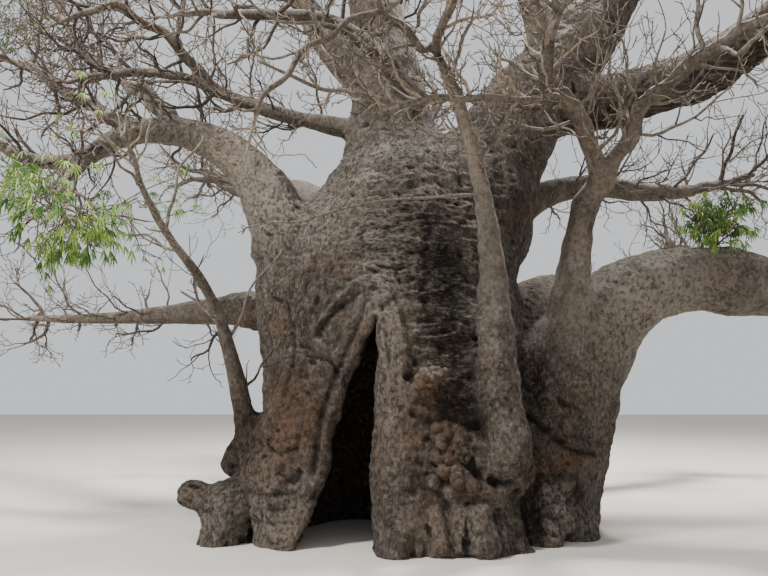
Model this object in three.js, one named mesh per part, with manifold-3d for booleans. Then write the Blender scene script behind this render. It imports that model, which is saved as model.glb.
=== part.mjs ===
// A very old baobab standing bare, with a doorway into its hollow trunk. Millimetres, +Z up, and the origin
// on the flat cut at ground level. The front, with the doorway, looks towards -Y, and turns are counted in
// degrees from +X towards +Y.
// The trunk is one fluted body with the first stretch of each stem fused on. Every bough is one tapering
// limb that follows headings and climbs along its length. Every mass is twigs that branch by one seeded rule
// from a stem set on a bough's tip, within a round space of its own.
import * as THREE from "three";
import { mergeVertices } from "three/addons/utils/BufferGeometryUtils.js";
import Module from "manifold-3d";

const wasm = await Module();
wasm.setup();

const SEAT_GAP = 0.3; // left between a piece and what carries it
const FLANK_GAP = 0.4; // left all round a limb that grows out of another

// The trunk, from the ground to its fork, in even steps of height.
const TRUNK_TALL = 5250;
const TRUNK_RADIUS = [1930, 1920, 1860, 1800, 1710, 1520, 1200, 650];
const TRUNK_DRIFT = [0, 50, 0, -110, -250, -180, -20, 260]; // how far its heart swings towards +X
const TRUNK_DEPTH = 0.93; // front to back, against side to side
const FLARE_OUT = 170; // the flare at the ground, and the height over which it fades
const FLARE_TALL = 330;
const TRUNK_SECTORS = 52;
const TRUNK_RINGS = 17;

// The flutes of the trunk: where each faces, its width in degrees, how far it stands out, how high it goes.
const FLUTES = [
  { turn: 180, wide: 17, out: 190, high: 3900 },
  { turn: 204, wide: 10, out: 360, high: 1100 },
  { turn: 228, wide: 12, out: 300, high: 1900 },
  { turn: 247, wide: 8, out: -120, high: 2600 },
  { turn: 262, wide: 8, out: 170, high: 2400 },
  { turn: 277, wide: 5, out: 120, high: 700 },
  { turn: 289, wide: 6, out: 150, high: 650 },
  { turn: 301, wide: 9, out: 130, high: 1700 },
  { turn: 314, wide: 6, out: -190, high: 2600 },
  { turn: 327, wide: 9, out: 110, high: 1500 },
  { turn: 343, wide: 15, out: 180, high: 1500 },
  { turn: 8, wide: 10, out: 190, high: 1100 },
  { turn: 38, wide: 14, out: 230, high: 2300 },
  { turn: 56, wide: 7, out: -90, high: 1800 },
  { turn: 76, wide: 12, out: 160, high: 3000 },
  { turn: 98, wide: 7, out: -80, high: 1500 },
  { turn: 118, wide: 12, out: 250, high: 2400 },
  { turn: 150, wide: 11, out: 170, high: 1300 },
];

// The doorway's outline on the front, and the hollow behind it.
const DOOR_RIGHT = -500;
const DOOR_LEFT = -1300;
const DOOR_TALL = 2440;
const DOOR_BULGE = [-900, 900]; // what its slanting left edge bends towards
const DOOR_BACK = -500; // it is cut from well in front of the bark to here
const DOOR_FRONT = -3000;
const HOLLOW_AT = [-750, -750, 400];
const HOLLOW_SIZE = [620, 750, 1900];

// Short growths fused to the trunk: a root that stands out on the left, and a torn branch over the toes.
const ROOT_STUB = {
  root: [-1600, -1200, 260], heading: [190, 186], climb: [2, 14], long: 1130, radii: [380, 330, 190],
};
const TORN_STUB = {
  root: [80, -1500, 1700], heading: [278, 290], climb: [10, 20], long: 520, radii: [190, 150, 120],
};

// The boughs. Each starts at its root, or on another bough at a share of its length. Headings, climbs and
// radii are spaced evenly along it. The collar is the share that is fused to the trunk, and twigs is the
// radius of the space of the mass at its tip.
const BOUGHS = {
  left_bough: {
    root: [-1480, -210, 2700], heading: [223, 200, 192, 188, 206, 204], climb: [71, 74, 47, 6, -48, 27],
    long: 5400, radii: [590, 470, 280, 200, 115, 70], collar: 0.22, twigs: 1500,
  },
  left_low_bough: {
    root: [-1400, 300, 2650], heading: [165, 156, 163, 164], climb: [18, 0, -1, 2],
    long: 4700, radii: [420, 220, 110, 70], collar: 0.24, twigs: 1350,
  },
  left_thin_stem: {
    root: [-1780, -880, 560], heading: [208, 250, 236, 222, 248], climb: [60, 68, 66, 44, 54],
    long: 3830, radii: [230, 120, 75, 50, 32], collar: 0.2, twigs: 800,
  },
  centre_stem: {
    root: [-290, 100, 3530], heading: [75, 101, 170, 150], climb: [86, 88, 77, 81],
    long: 5720, radii: [1220, 890, 650, 540, 420, 330, 230], collar: 0.22, twigs: 1750,
  },
  right_rear_bough: {
    root: [870, 300, 4030], heading: [23, 15, 20], climb: [73, 49, 59],
    long: 5900, radii: [900, 740, 620, 540, 430], collar: 0.26,
  },
  front_stem: {
    root: [910, -1550, 900], heading: [249, 257, 207, 218], climb: [74, 84, 78, 56],
    long: 4670, radii: [275, 220, 160, 107, 80, 55], collar: 0.3,
  },
  right_stem: {
    root: [1430, -950, 1200], heading: [314, 325, 322, 320], climb: [78, 68, 78, 77],
    long: 2690, radii: [360, 208, 165], collar: 0.3,
  },
  arch_bough: {
    root: [1450, -420, 450], heading: [342, 341, 343, 349, 347], climb: [69, 70, 60, 20, -10],
    long: 4000, radii: [800, 720, 610, 450, 370], collar: 0.43,
  },
  right_mid_bough: {
    root: [1000, 950, 3950], heading: [11, 4, -5, 3], climb: [47, 27, -14, 16],
    long: 4150, radii: [420, 230, 170, 90], collar: 0.2, twigs: 1450,
  },
  back_left_bough: {
    root: [-850, 900, 3150], heading: [128, 118, 132, 140], climb: [62, 40, 12, 30],
    long: 6300, radii: [620, 400, 260, 160], collar: 0.18, twigs: 1700,
  },
  back_bough: {
    root: [150, 1000, 3500], heading: [80, 96, 84, 70], climb: [72, 44, 28, 46],
    long: 6200, radii: [640, 430, 280, 170], collar: 0.18, twigs: 1700,
  },
  back_right_bough: {
    root: [1150, 850, 2300], heading: [46, 38, 30, 36], climb: [44, 16, 4, 30],
    long: 6000, radii: [600, 380, 240, 150], collar: 0.2, twigs: 1600,
  },
  left_upper_bough: {
    on: "left_bough", at: 0.69, heading: [174, 167, 168], climb: [23, 35, 30],
    long: 2460, radii: [105, 72, 48], twigs: 1250,
  },
  left_top_bough: {
    on: "left_bough", at: 0.6, heading: [157, 157, 150, 142], climb: [51, 32, 41, 57],
    long: 4090, radii: [135, 82, 55], twigs: 1500,
  },
  left_drop_bough: {
    on: "left_bough", at: 0.83, heading: [240, 281, 288], climb: [-46, -47, -43],
    long: 1180, radii: [72, 56, 42], twigs: 900, leaves: 5,
  },
  centre_left_bough: {
    on: "centre_stem", at: 0.33, heading: [195, 198, 198, 203], climb: [7, 4, 20, -25],
    long: 4020, radii: [205, 110, 75, 55], twigs: 900,
  },
  centre_left_fork: {
    on: "centre_left_bough", at: 0.65, heading: [209, 226, 224, 237], climb: [40, 31, 12, -40],
    long: 1980, radii: [75, 60, 45], twigs: 900,
  },
  centre_left_top: {
    on: "centre_stem", at: 0.46, heading: [193, 198, 175], climb: [26, 55, 74],
    long: 3080, radii: [380, 200, 120], twigs: 1600,
  },
  centre_back_bough: {
    on: "centre_stem", at: 0.62, heading: [70, 84, 72], climb: [40, 52, 66],
    long: 2700, radii: [260, 180, 120], twigs: 1500,
  },
  overhead_limb: {
    on: "centre_stem", at: 0.52, heading: [253, 239, 232, 232], climb: [8, -7, -27, -28],
    long: 3590, radii: [170, 100, 70, 50], twigs: 900,
  },
  right_rear_fork: {
    on: "right_rear_bough", at: 0.54, heading: [217, 206, 216], climb: [70, 70, 89],
    long: 2150, radii: [330, 200, 150], twigs: 1400,
  },
  right_rear_outer: {
    on: "right_rear_bough", at: 1, heading: [20, 4, 8], climb: [59, 42, 52],
    long: 2100, radii: [430, 280, 160], twigs: 1500,
  },
  right_rear_inner: {
    on: "right_rear_bough", at: 0.84, heading: [110, 84, 70], climb: [30, 62, 76],
    long: 2500, radii: [300, 210, 140], twigs: 1500,
  },
  torn_bough: {
    on: "right_rear_bough", at: 0.42, heading: [3, -26, -47], climb: [-5, 10, 41],
    long: 4200, radii: [440, 420, 400, 350, 240], twigs: 1500,
  },
  front_stem_left: {
    on: "front_stem", at: 1, heading: [218, 231, 250], climb: [-24, 8, 18],
    long: 1110, radii: [54, 46, 36], twigs: 800,
  },
  front_stem_right: {
    on: "front_stem", at: 0.98, heading: [264, 284, 294], climb: [36, 16, 7],
    long: 980, radii: [52, 44, 34], twigs: 800,
  },
  hanging_limb: {
    on: "front_stem_left", at: 0.88, heading: [212, 203, 199], climb: [-33, -48, -65],
    long: 1890, radii: [33, 28, 22], twigs: 600,
  },
  right_stem_left: {
    on: "right_stem", at: 0.96, heading: [-14, -120, -156, -78], climb: [69, 52, 23, 79],
    long: 2380, radii: [125, 95, 65], twigs: 900,
  },
  right_stem_right: {
    on: "right_stem", at: 1, heading: [-17, -53, -40, -47], climb: [51, 59, 23, 10],
    long: 2910, radii: [118, 88, 65], twigs: 1250,
  },
  arch_bough_outer: {
    on: "arch_bough", at: 1, heading: [-13, -21, -18, -23], climb: [-16, -15, 27, 45],
    long: 2350, radii: [370, 260, 150], twigs: 1500,
  },
};

// A small leafy shoot that stands on the arching bough, apart from the masses at the boughs' tips.
const SHOOT = { on: "arch_bough", at: 0.95, heading: 300, climb: 78, thick: 24, twigs: 450, leaves: 4 };

// How twigs branch: shares of the parent's length where the twigs leave it, their length against it, how far
// they lean away from it, and how strongly they turn up towards the light.
const STEM_SHARE = 0.62; // a stem's length, against the radius of its mass
const HEART_SHARE = 0.55; // how far ahead of the bough's tip the mass has its middle, against its radius
const TWIG_COUNT = [1, 4, 2];
const TWIG_FROM = 0.34; // the first twig's share
const TWIG_LAST = 0.84; // and the last's
const TWIG_LONG = [1, 1.1, 0.66];
const TWIG_LEAN = [0, 46, 52];
const TWIG_THICK = 0.56; // a twig's radius at its root, against its parent's there
const TWIG_TAPER = 0.45; // and at its tip, against its root
const TWIG_KINK = 0.1; // how far a twig bows sideways, against its length
const TWIG_RISE = 0.22; // how far its tip turns up, against its length
const TWIG_SIDES = [4, 3, 3];
const TWIG_RINGS = [2, 2, 1];
const GOLDEN_TURN = 137.5;
const TWIG_CLEAR = 25; // kept between a twig and any limb
const SPACE_MARGIN = 0.04; // kept between two masses' spaces, against their radii
const LOWEST_TWIG = 1700; // above the ground
const LEAF = { long: 330, wide: 95, thick: 6, sunk: 0.06, lean: 55 };

// How finely the limbs are faceted, by the radius at their root.
const LIMB_STEPS = 48;
const RING_EVERY = 470;
const STOUT = 500;
const SLIM = 160;

const mix = THREE.MathUtils.lerp;
const rad = THREE.MathUtils.degToRad;

// The value at a share from 0 to 1 of the way along an evenly spaced list.
function along(list, share) {
  const place = Math.min(Math.max(share, 0), 1) * (list.length - 1);
  const low = Math.min(Math.floor(place), list.length - 2);
  return mix(list[low], list[low + 1], place - low);
}

// A direction from its heading and its climb.
function direction(heading, climb) {
  const level = Math.cos(rad(climb));
  const [x, y] = [Math.cos(rad(heading)), Math.sin(rad(heading))];
  return new THREE.Vector3(x * level, y * level, Math.sin(rad(climb)));
}

// A repeatable number from 0 to 1 for a twig of a mass and what it is used for.
function chance(mass, twig, use) {
  const wave = Math.sin(mass * 12.9898 + twig * 78.233 + use * 37.719) * 43758.5453;
  return wave - Math.floor(wave);
}

// A closed three.js geometry as a solid that can be joined and cut.
function solid(geometry) {
  const bare = geometry.clone();
  bare.deleteAttribute("normal");
  bare.deleteAttribute("uv");
  const merged = mergeVertices(bare, 1e-3);
  const mesh = new wasm.Mesh({
    numProp: 3,
    vertProperties: merged.getAttribute("position").array,
    triVerts: new Uint32Array(merged.index.array),
  });
  return new wasm.Manifold(mesh);
}

// A solid back as a three.js geometry.
function geometryOf(made) {
  const mesh = made.getMesh();
  const geometry = new THREE.BufferGeometry();
  geometry.setAttribute("position", new THREE.BufferAttribute(new Float32Array(mesh.vertProperties), 3));
  geometry.setIndex(new THREE.BufferAttribute(new Uint32Array(mesh.triVerts), 1));
  geometry.computeVertexNormals();
  return geometry;
}

// The largest of the bodies that a cut leaves.
function mainBody(made) {
  return made.decompose().reduce((best, next) => (next.volume() > best.volume() ? next : best));
}

// A tapering tube: rings that stand square to a path, each turned as little as can be from the one before.
// where and thick give the path's point and the radius at a share of its length. A pointed one ends in a tip.
function tube(where, thick, sides, rings, from = 0, to = 1, pointed = false) {
  const frames = [];
  const nudge = 0.01;
  let side = null;
  for (let ring = 0; ring <= rings; ring++) {
    const share = mix(from, to, ring / rings);
    const ahead = where(share + nudge).sub(where(share - nudge)).normalize();
    side ??= new THREE.Vector3(0.9, 0.3, 0.1).cross(ahead);
    side.addScaledVector(ahead, -side.dot(ahead)).normalize();
    frames.push({
      centre: where(share),
      radius: thick(share),
      side: side.clone(),
      across: ahead.clone().cross(side),
    });
  }
  const geometry = new THREE.CylinderGeometry(pointed ? 0 : 1, 1, 1, sides, rings);
  const position = geometry.getAttribute("position");
  for (let i = 0; i < position.count; i++) {
    const frame = frames[Math.round((position.getY(i) + 0.5) * rings)];
    const round = new THREE.Vector2(position.getX(i), position.getZ(i)).setLength(frame.radius);
    const point = frame.centre.clone();
    if (Math.hypot(position.getX(i), position.getZ(i)) > 0) {
      point.addScaledVector(frame.side, round.y).addScaledVector(frame.across, round.x);
    }
    position.setXYZ(i, point.x, point.y, point.z);
  }
  return solid(geometry);
}

// A limb: its centre line follows its headings and climbs in short even steps.
class Limb {
  constructor(row, root) {
    Object.assign(this, row);
    this.points = [root.clone()];
    for (let step = 0; step < LIMB_STEPS; step++) {
      const share = (step + 0.5) / LIMB_STEPS;
      const ahead = direction(along(this.heading, share), along(this.climb, share));
      this.points.push(this.points[step].clone().addScaledVector(ahead, this.long / LIMB_STEPS));
    }
  }

  // The centre line's point at a share of the limb's length, carried straight on past either end.
  where(share) {
    const place = share * LIMB_STEPS;
    const low = Math.min(Math.max(Math.floor(place), 0), LIMB_STEPS - 1);
    return this.points[low].clone().lerp(this.points[low + 1], place - low);
  }

  thick(share) {
    return along(this.radii, share);
  }

  // The limb as a solid, from one share to another, wider and longer by a little where it cuts.
  made(from, to, wider = 0) {
    const widest = this.radii[0];
    const sides = widest > STOUT ? 12 : widest > SLIM ? 8 : 6;
    const rings = Math.max(2, Math.round((this.long * (to - from)) / RING_EVERY));
    const longer = wider / this.long;
    const where = (share) => this.where(share);
    const thick = (share) => this.thick(share) + wider;
    return tube(where, thick, sides, rings, from - longer, to + longer);
  }
}

// The trunk's surface: how far it stands from its heart at a turn and a height.
function trunkReach(turn, height) {
  const depth = Math.hypot(Math.cos(rad(turn)), Math.sin(rad(turn)) * TRUNK_DEPTH);
  let reach = along(TRUNK_RADIUS, height / TRUNK_TALL) * depth;
  reach += FLARE_OUT * Math.exp(-height / FLARE_TALL);
  for (const flute of FLUTES) {
    const away = ((turn - flute.turn + 540) % 360) - 180;
    const round = Math.exp(-((away / flute.wide) ** 2));
    reach += flute.out * round * Math.exp(-((height / flute.high) ** 2));
  }
  return reach;
}

// The trunk without its stems: rings from the ground up, each laid out by the reach at every turn.
function trunkBody(wider) {
  const geometry = new THREE.CylinderGeometry(1, 1, 1, TRUNK_SECTORS, TRUNK_RINGS);
  const position = geometry.getAttribute("position");
  for (let i = 0; i < position.count; i++) {
    const share = position.getY(i) + 0.5;
    const [x, y] = [position.getZ(i), position.getX(i)];
    const turn = (THREE.MathUtils.radToDeg(Math.atan2(y, x)) + 360) % 360;
    const reach = trunkReach(turn, share * TRUNK_TALL) + wider;
    const height = share * (TRUNK_TALL + wider);
    position.setXYZ(i, x * reach + along(TRUNK_DRIFT, share), y * reach, height);
  }
  return solid(geometry);
}

// The trunk with the first stretches of the stems, the root stub and the torn stub.
function trunkWith(growing, wider) {
  const foot = (limb) => limb.made(0, limb.collar ?? 1, wider);
  return growing.reduce((joined, limb) => joined.add(foot(limb)), trunkBody(wider));
}

// What is taken out of the trunk: the pointed doorway, the hollow behind it, and all below the ground.
function doorway() {
  const sill = -100;
  const outline = new THREE.Shape();
  outline.moveTo(DOOR_RIGHT, sill);
  outline.lineTo(DOOR_RIGHT, DOOR_TALL);
  outline.quadraticCurveTo(DOOR_BULGE[0], DOOR_BULGE[1], DOOR_LEFT, 0);
  outline.lineTo(DOOR_LEFT, sill);
  const depth = DOOR_BACK - DOOR_FRONT;
  const opening = new THREE.ExtrudeGeometry(outline, { depth, bevelEnabled: false, curveSegments: 8 });
  opening.rotateX(Math.PI / 2);
  opening.translate(0, DOOR_BACK, 0);
  const chamber = new THREE.SphereGeometry(1, 20, 14);
  chamber.scale(...HOLLOW_SIZE);
  chamber.translate(...HOLLOW_AT);
  const ground = { wide: 9000, deep: 1000 };
  const below = new THREE.BoxGeometry(ground.wide, ground.wide, ground.deep);
  below.translate(0, 0, -ground.deep / 2);
  return solid(opening).add(solid(chamber)).add(solid(below));
}

// Limbs in the order that they grow, each with the solid of its free stretch, cut clear of what it leaves.
const limbs = {};
for (const [name, row] of Object.entries(BOUGHS)) {
  const root = row.on ? limbs[row.on].where(row.at) : new THREE.Vector3(...row.root);
  limbs[name] = new Limb(row, root);
}
const stems = Object.values(limbs).filter((limb) => limb.collar);
const growths = [ROOT_STUB, TORN_STUB].map((row) => new Limb(row, new THREE.Vector3(...row.root)));
const growing = [...stems, ...growths];

const solids = { trunk: mainBody(trunkWith(growing, 0).subtract(doorway())) };
const cutters = { trunk: trunkWith(growing, FLANK_GAP) };
for (const [name, limb] of Object.entries(limbs)) {
  let piece = limb.made(limb.collar ?? 0, 1);
  for (const cutter of Object.values(cutters)) {
    piece = piece.subtract(cutter);
  }
  solids[name] = mainBody(piece);
  cutters[name] = limb.made(limb.collar ?? 0, 1, FLANK_GAP);
}

// The masses: each has its stem's root and direction, and a round space ahead of its bough's tip.
const masses = {};
for (const [name, limb] of Object.entries(limbs)) {
  if (limb.twigs) {
    const ahead = limb.where(1).sub(limb.where(0.98)).normalize();
    masses[`${name}_twigs`] = {
      root: limb.where(1).addScaledVector(ahead, SEAT_GAP),
      ahead,
      thick: limb.thick(1),
      space: limb.twigs,
      leaves: limb.leaves ?? 0,
      heart: limb.where(1).addScaledVector(ahead, limb.twigs * HEART_SHARE),
    };
  }
}

// The shoot's stem starts inside the bough that it stands on, which is cut out of it.
function standShoot() {
  const bearer = limbs[SHOOT.on];
  const ahead = direction(SHOOT.heading, SHOOT.climb);
  const root = bearer.where(SHOOT.at).addScaledVector(ahead, bearer.thick(SHOOT.at) * 0.9);
  return {
    root,
    ahead,
    thick: SHOOT.thick,
    cut: cutters[SHOOT.on],
    space: SHOOT.twigs,
    leaves: SHOOT.leaves,
    heart: root.clone().addScaledVector(ahead, SHOOT.twigs * HEART_SHARE),
  };
}
masses.arch_shoot = standShoot();
const spaces = Object.values(masses);

// Whether a point lies in a mass's own space: inside its round, nearer to its heart than to any other by
// their sizes, and not too low.
function inSpace(mass, point) {
  const from = (other) => point.distanceTo(other.heart) / other.space;
  const own = from(mass);
  const others = spaces.filter((other) => other !== mass);
  return own < 1 && point.z > LOWEST_TWIG && others.every((other) => from(other) > own + SPACE_MARGIN);
}

// Whether a point with a radius stands clear of every limb, tried against short stretches of each.
function clearOfLimbs(point, radius) {
  const line = new THREE.Line3();
  const nearest = new THREE.Vector3();
  const stretch = LIMB_STEPS / 12;
  return Object.values(limbs).every((limb) => {
    for (let step = 0; step < LIMB_STEPS; step += stretch) {
      line.set(limb.points[step], limb.points[step + stretch]);
      line.closestPointToPoint(point, true, nearest);
      const room = limb.thick(step / LIMB_STEPS) + radius + TWIG_CLEAR;
      if (nearest.distanceTo(point) < room) {
        return false;
      }
    }
    return true;
  });
}

// One twig: a bowed centre line from its root, along its direction, bent up and kinked to one side.
class Twig {
  constructor(number, level, root, ahead, long, thick, kink) {
    Object.assign(this, { number, level, root, ahead, long, thick });
    this.rise = new THREE.Vector3(0, 0, level === 0 ? 0 : TWIG_RISE * long);
    this.side = new THREE.Vector3(0, 0, 1).cross(ahead).normalize().applyAxisAngle(ahead, kink);
  }

  where(share) {
    const point = this.root.clone().addScaledVector(this.ahead, this.long * share);
    point.addScaledVector(this.rise, share ** 2);
    const bow = (1 - Math.cos(2 * Math.PI * share)) / 2;
    return point.addScaledVector(this.side, this.long * TWIG_KINK * bow);
  }

  radius(share) {
    return this.thick * mix(1, TWIG_TAPER, share);
  }

  // The twigs that leave this one, each turned on round it by the golden angle and leaning away.
  branches(seed) {
    const level = this.level + 1;
    const count = TWIG_COUNT[level];
    const made = [];
    for (let place = 0; place < count; place++) {
      const number = this.number * 8 + place + 1;
      const share = mix(TWIG_FROM, TWIG_LAST, place / (count - 1));
      const lean = rad(TWIG_LEAN[level] * mix(0.75, 1.25, chance(seed, number, 1)));
      const spin = rad(GOLDEN_TURN * number + 60 * chance(seed, number, 2));
      const long = this.long * TWIG_LONG[level] * mix(0.8, 1.15, chance(seed, number, 3));
      const ahead = this.ahead.clone().applyAxisAngle(this.side, lean).applyAxisAngle(this.ahead, spin);
      const kink = rad(360 * chance(seed, number, 4));
      const thick = this.radius(share) * TWIG_THICK;
      made.push(new Twig(number, level, this.where(share), ahead, long, thick, kink));
    }
    return made;
  }

  made() {
    const [sides, rings] = [TWIG_SIDES[this.level], TWIG_RINGS[this.level]];
    return tube((share) => this.where(share), (share) => this.radius(share), sides, rings, 0, 1, true);
  }
}

// A leaf: a thin blade of eight faces that tapers to both ends, its root sunk in its twig.
function leaf(root, ahead, side) {
  const blade = new THREE.OctahedronGeometry(1);
  blade.scale(LEAF.long / 2, LEAF.wide / 2, LEAF.thick / 2);
  blade.translate(LEAF.long * (0.5 - LEAF.sunk), 0, 0);
  const face = ahead.clone().cross(side).normalize();
  const across = face.clone().cross(ahead);
  blade.applyMatrix4(new THREE.Matrix4().makeBasis(ahead, across, face).setPosition(root));
  return solid(blade);
}

// The leaves of one twig, in turn on either side from its middle to its tip.
function leaves(twig, count, fits) {
  const made = [];
  for (let place = 0; place < count; place++) {
    const share = mix(0.4, 0.96, place / Math.max(count - 1, 1));
    const root = twig.where(share);
    const onward = twig.where(1).sub(twig.where(0.9)).normalize();
    const ahead = onward.clone().applyAxisAngle(twig.side, rad(LEAF.lean));
    ahead.applyAxisAngle(onward, rad(GOLDEN_TURN * place));
    const tip = root.clone().addScaledVector(ahead, LEAF.long);
    if (fits(tip, LEAF.wide / 2)) {
      made.push(leaf(root, ahead, twig.side));
    }
  }
  return made;
}

// A mass as one solid: its stem, then every twig that keeps to the space and touches no limb.
function twigMass(mass, seed) {
  const fits = (point, radius) => inSpace(mass, point) && clearOfLimbs(point, radius);
  const stem = new Twig(1, 0, mass.root, mass.ahead, mass.space * STEM_SHARE, mass.thick, 0);
  const kept = [stem];
  let joined = stem.made();
  for (let next = 0; next < kept.length; next++) {
    const twig = kept[next];
    const last = twig.level === TWIG_COUNT.length - 1;
    const young = last ? [] : twig.branches(seed);
    for (const branch of young) {
      if ([0.5, 1].every((share) => fits(branch.where(share), branch.radius(share)))) {
        kept.push(branch);
        joined = joined.add(branch.made());
      }
    }
    if (last) {
      for (const blade of leaves(twig, mass.leaves, fits)) {
        joined = joined.add(blade);
      }
    }
  }
  return mainBody(mass.cut ? joined.subtract(mass.cut) : joined);
}

Object.entries(masses).forEach(([name, mass], seed) => {
  solids[name] = twigMass(mass, seed);
});

// Bark on the trunk and boughs, a paler skin on the twigs, and green on what bears leaves.
const bark = { color: 0x8d8176, roughness: 0.92, metalness: 0 };
const twigSkin = { color: 0x7d7468, roughness: 0.9, metalness: 0 };
const foliage = { color: 0x7c9a3a, roughness: 0.7, metalness: 0 };

const baobab = new THREE.Group();
for (const [name, made] of Object.entries(solids)) {
  const look = masses[name] ? (masses[name].leaves ? foliage : twigSkin) : bark;
  const mesh = new THREE.Mesh(geometryOf(made), new THREE.MeshStandardMaterial(look));
  mesh.name = name;
  baobab.add(mesh);
}

export default baobab;
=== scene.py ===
"""A very old baobab, bare, with a doorway into its hollow trunk. Metres, +Z up, the ground at z = 0."""

import bpy
import numpy as np
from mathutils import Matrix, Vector


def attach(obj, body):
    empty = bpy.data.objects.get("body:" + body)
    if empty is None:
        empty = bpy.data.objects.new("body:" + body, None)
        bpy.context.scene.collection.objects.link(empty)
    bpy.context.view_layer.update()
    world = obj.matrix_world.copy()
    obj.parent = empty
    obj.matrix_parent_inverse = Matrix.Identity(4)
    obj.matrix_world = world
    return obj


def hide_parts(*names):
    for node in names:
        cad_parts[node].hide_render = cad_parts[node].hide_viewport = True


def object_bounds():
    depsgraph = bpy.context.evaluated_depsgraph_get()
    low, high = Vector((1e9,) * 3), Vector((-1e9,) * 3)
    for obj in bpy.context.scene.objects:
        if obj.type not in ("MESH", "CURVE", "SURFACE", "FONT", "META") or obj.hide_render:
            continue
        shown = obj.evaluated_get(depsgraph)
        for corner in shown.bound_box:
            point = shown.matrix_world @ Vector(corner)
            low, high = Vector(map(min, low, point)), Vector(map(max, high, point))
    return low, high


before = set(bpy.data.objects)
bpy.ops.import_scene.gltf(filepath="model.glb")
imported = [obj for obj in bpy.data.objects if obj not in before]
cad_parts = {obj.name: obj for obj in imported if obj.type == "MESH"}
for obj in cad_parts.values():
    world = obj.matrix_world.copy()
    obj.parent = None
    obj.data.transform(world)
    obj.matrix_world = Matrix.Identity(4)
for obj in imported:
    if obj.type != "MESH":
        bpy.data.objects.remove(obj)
solid_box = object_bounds()

# ---------------------------------------------------------------------------------------------------------
# The boughs. Living limbs of soft wood that rise from the trunk or from each other, each tapering from a
# swollen root. They grow together with what bears them, so they are laid out first, as centre lines.
# ---------------------------------------------------------------------------------------------------------

LIMB_STEPS = 48
SLIM_LIMB = 0.05
SLIM_BOUGH_ROOT = 0.14
SLIM_BOUGH_WAVER = 16

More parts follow.
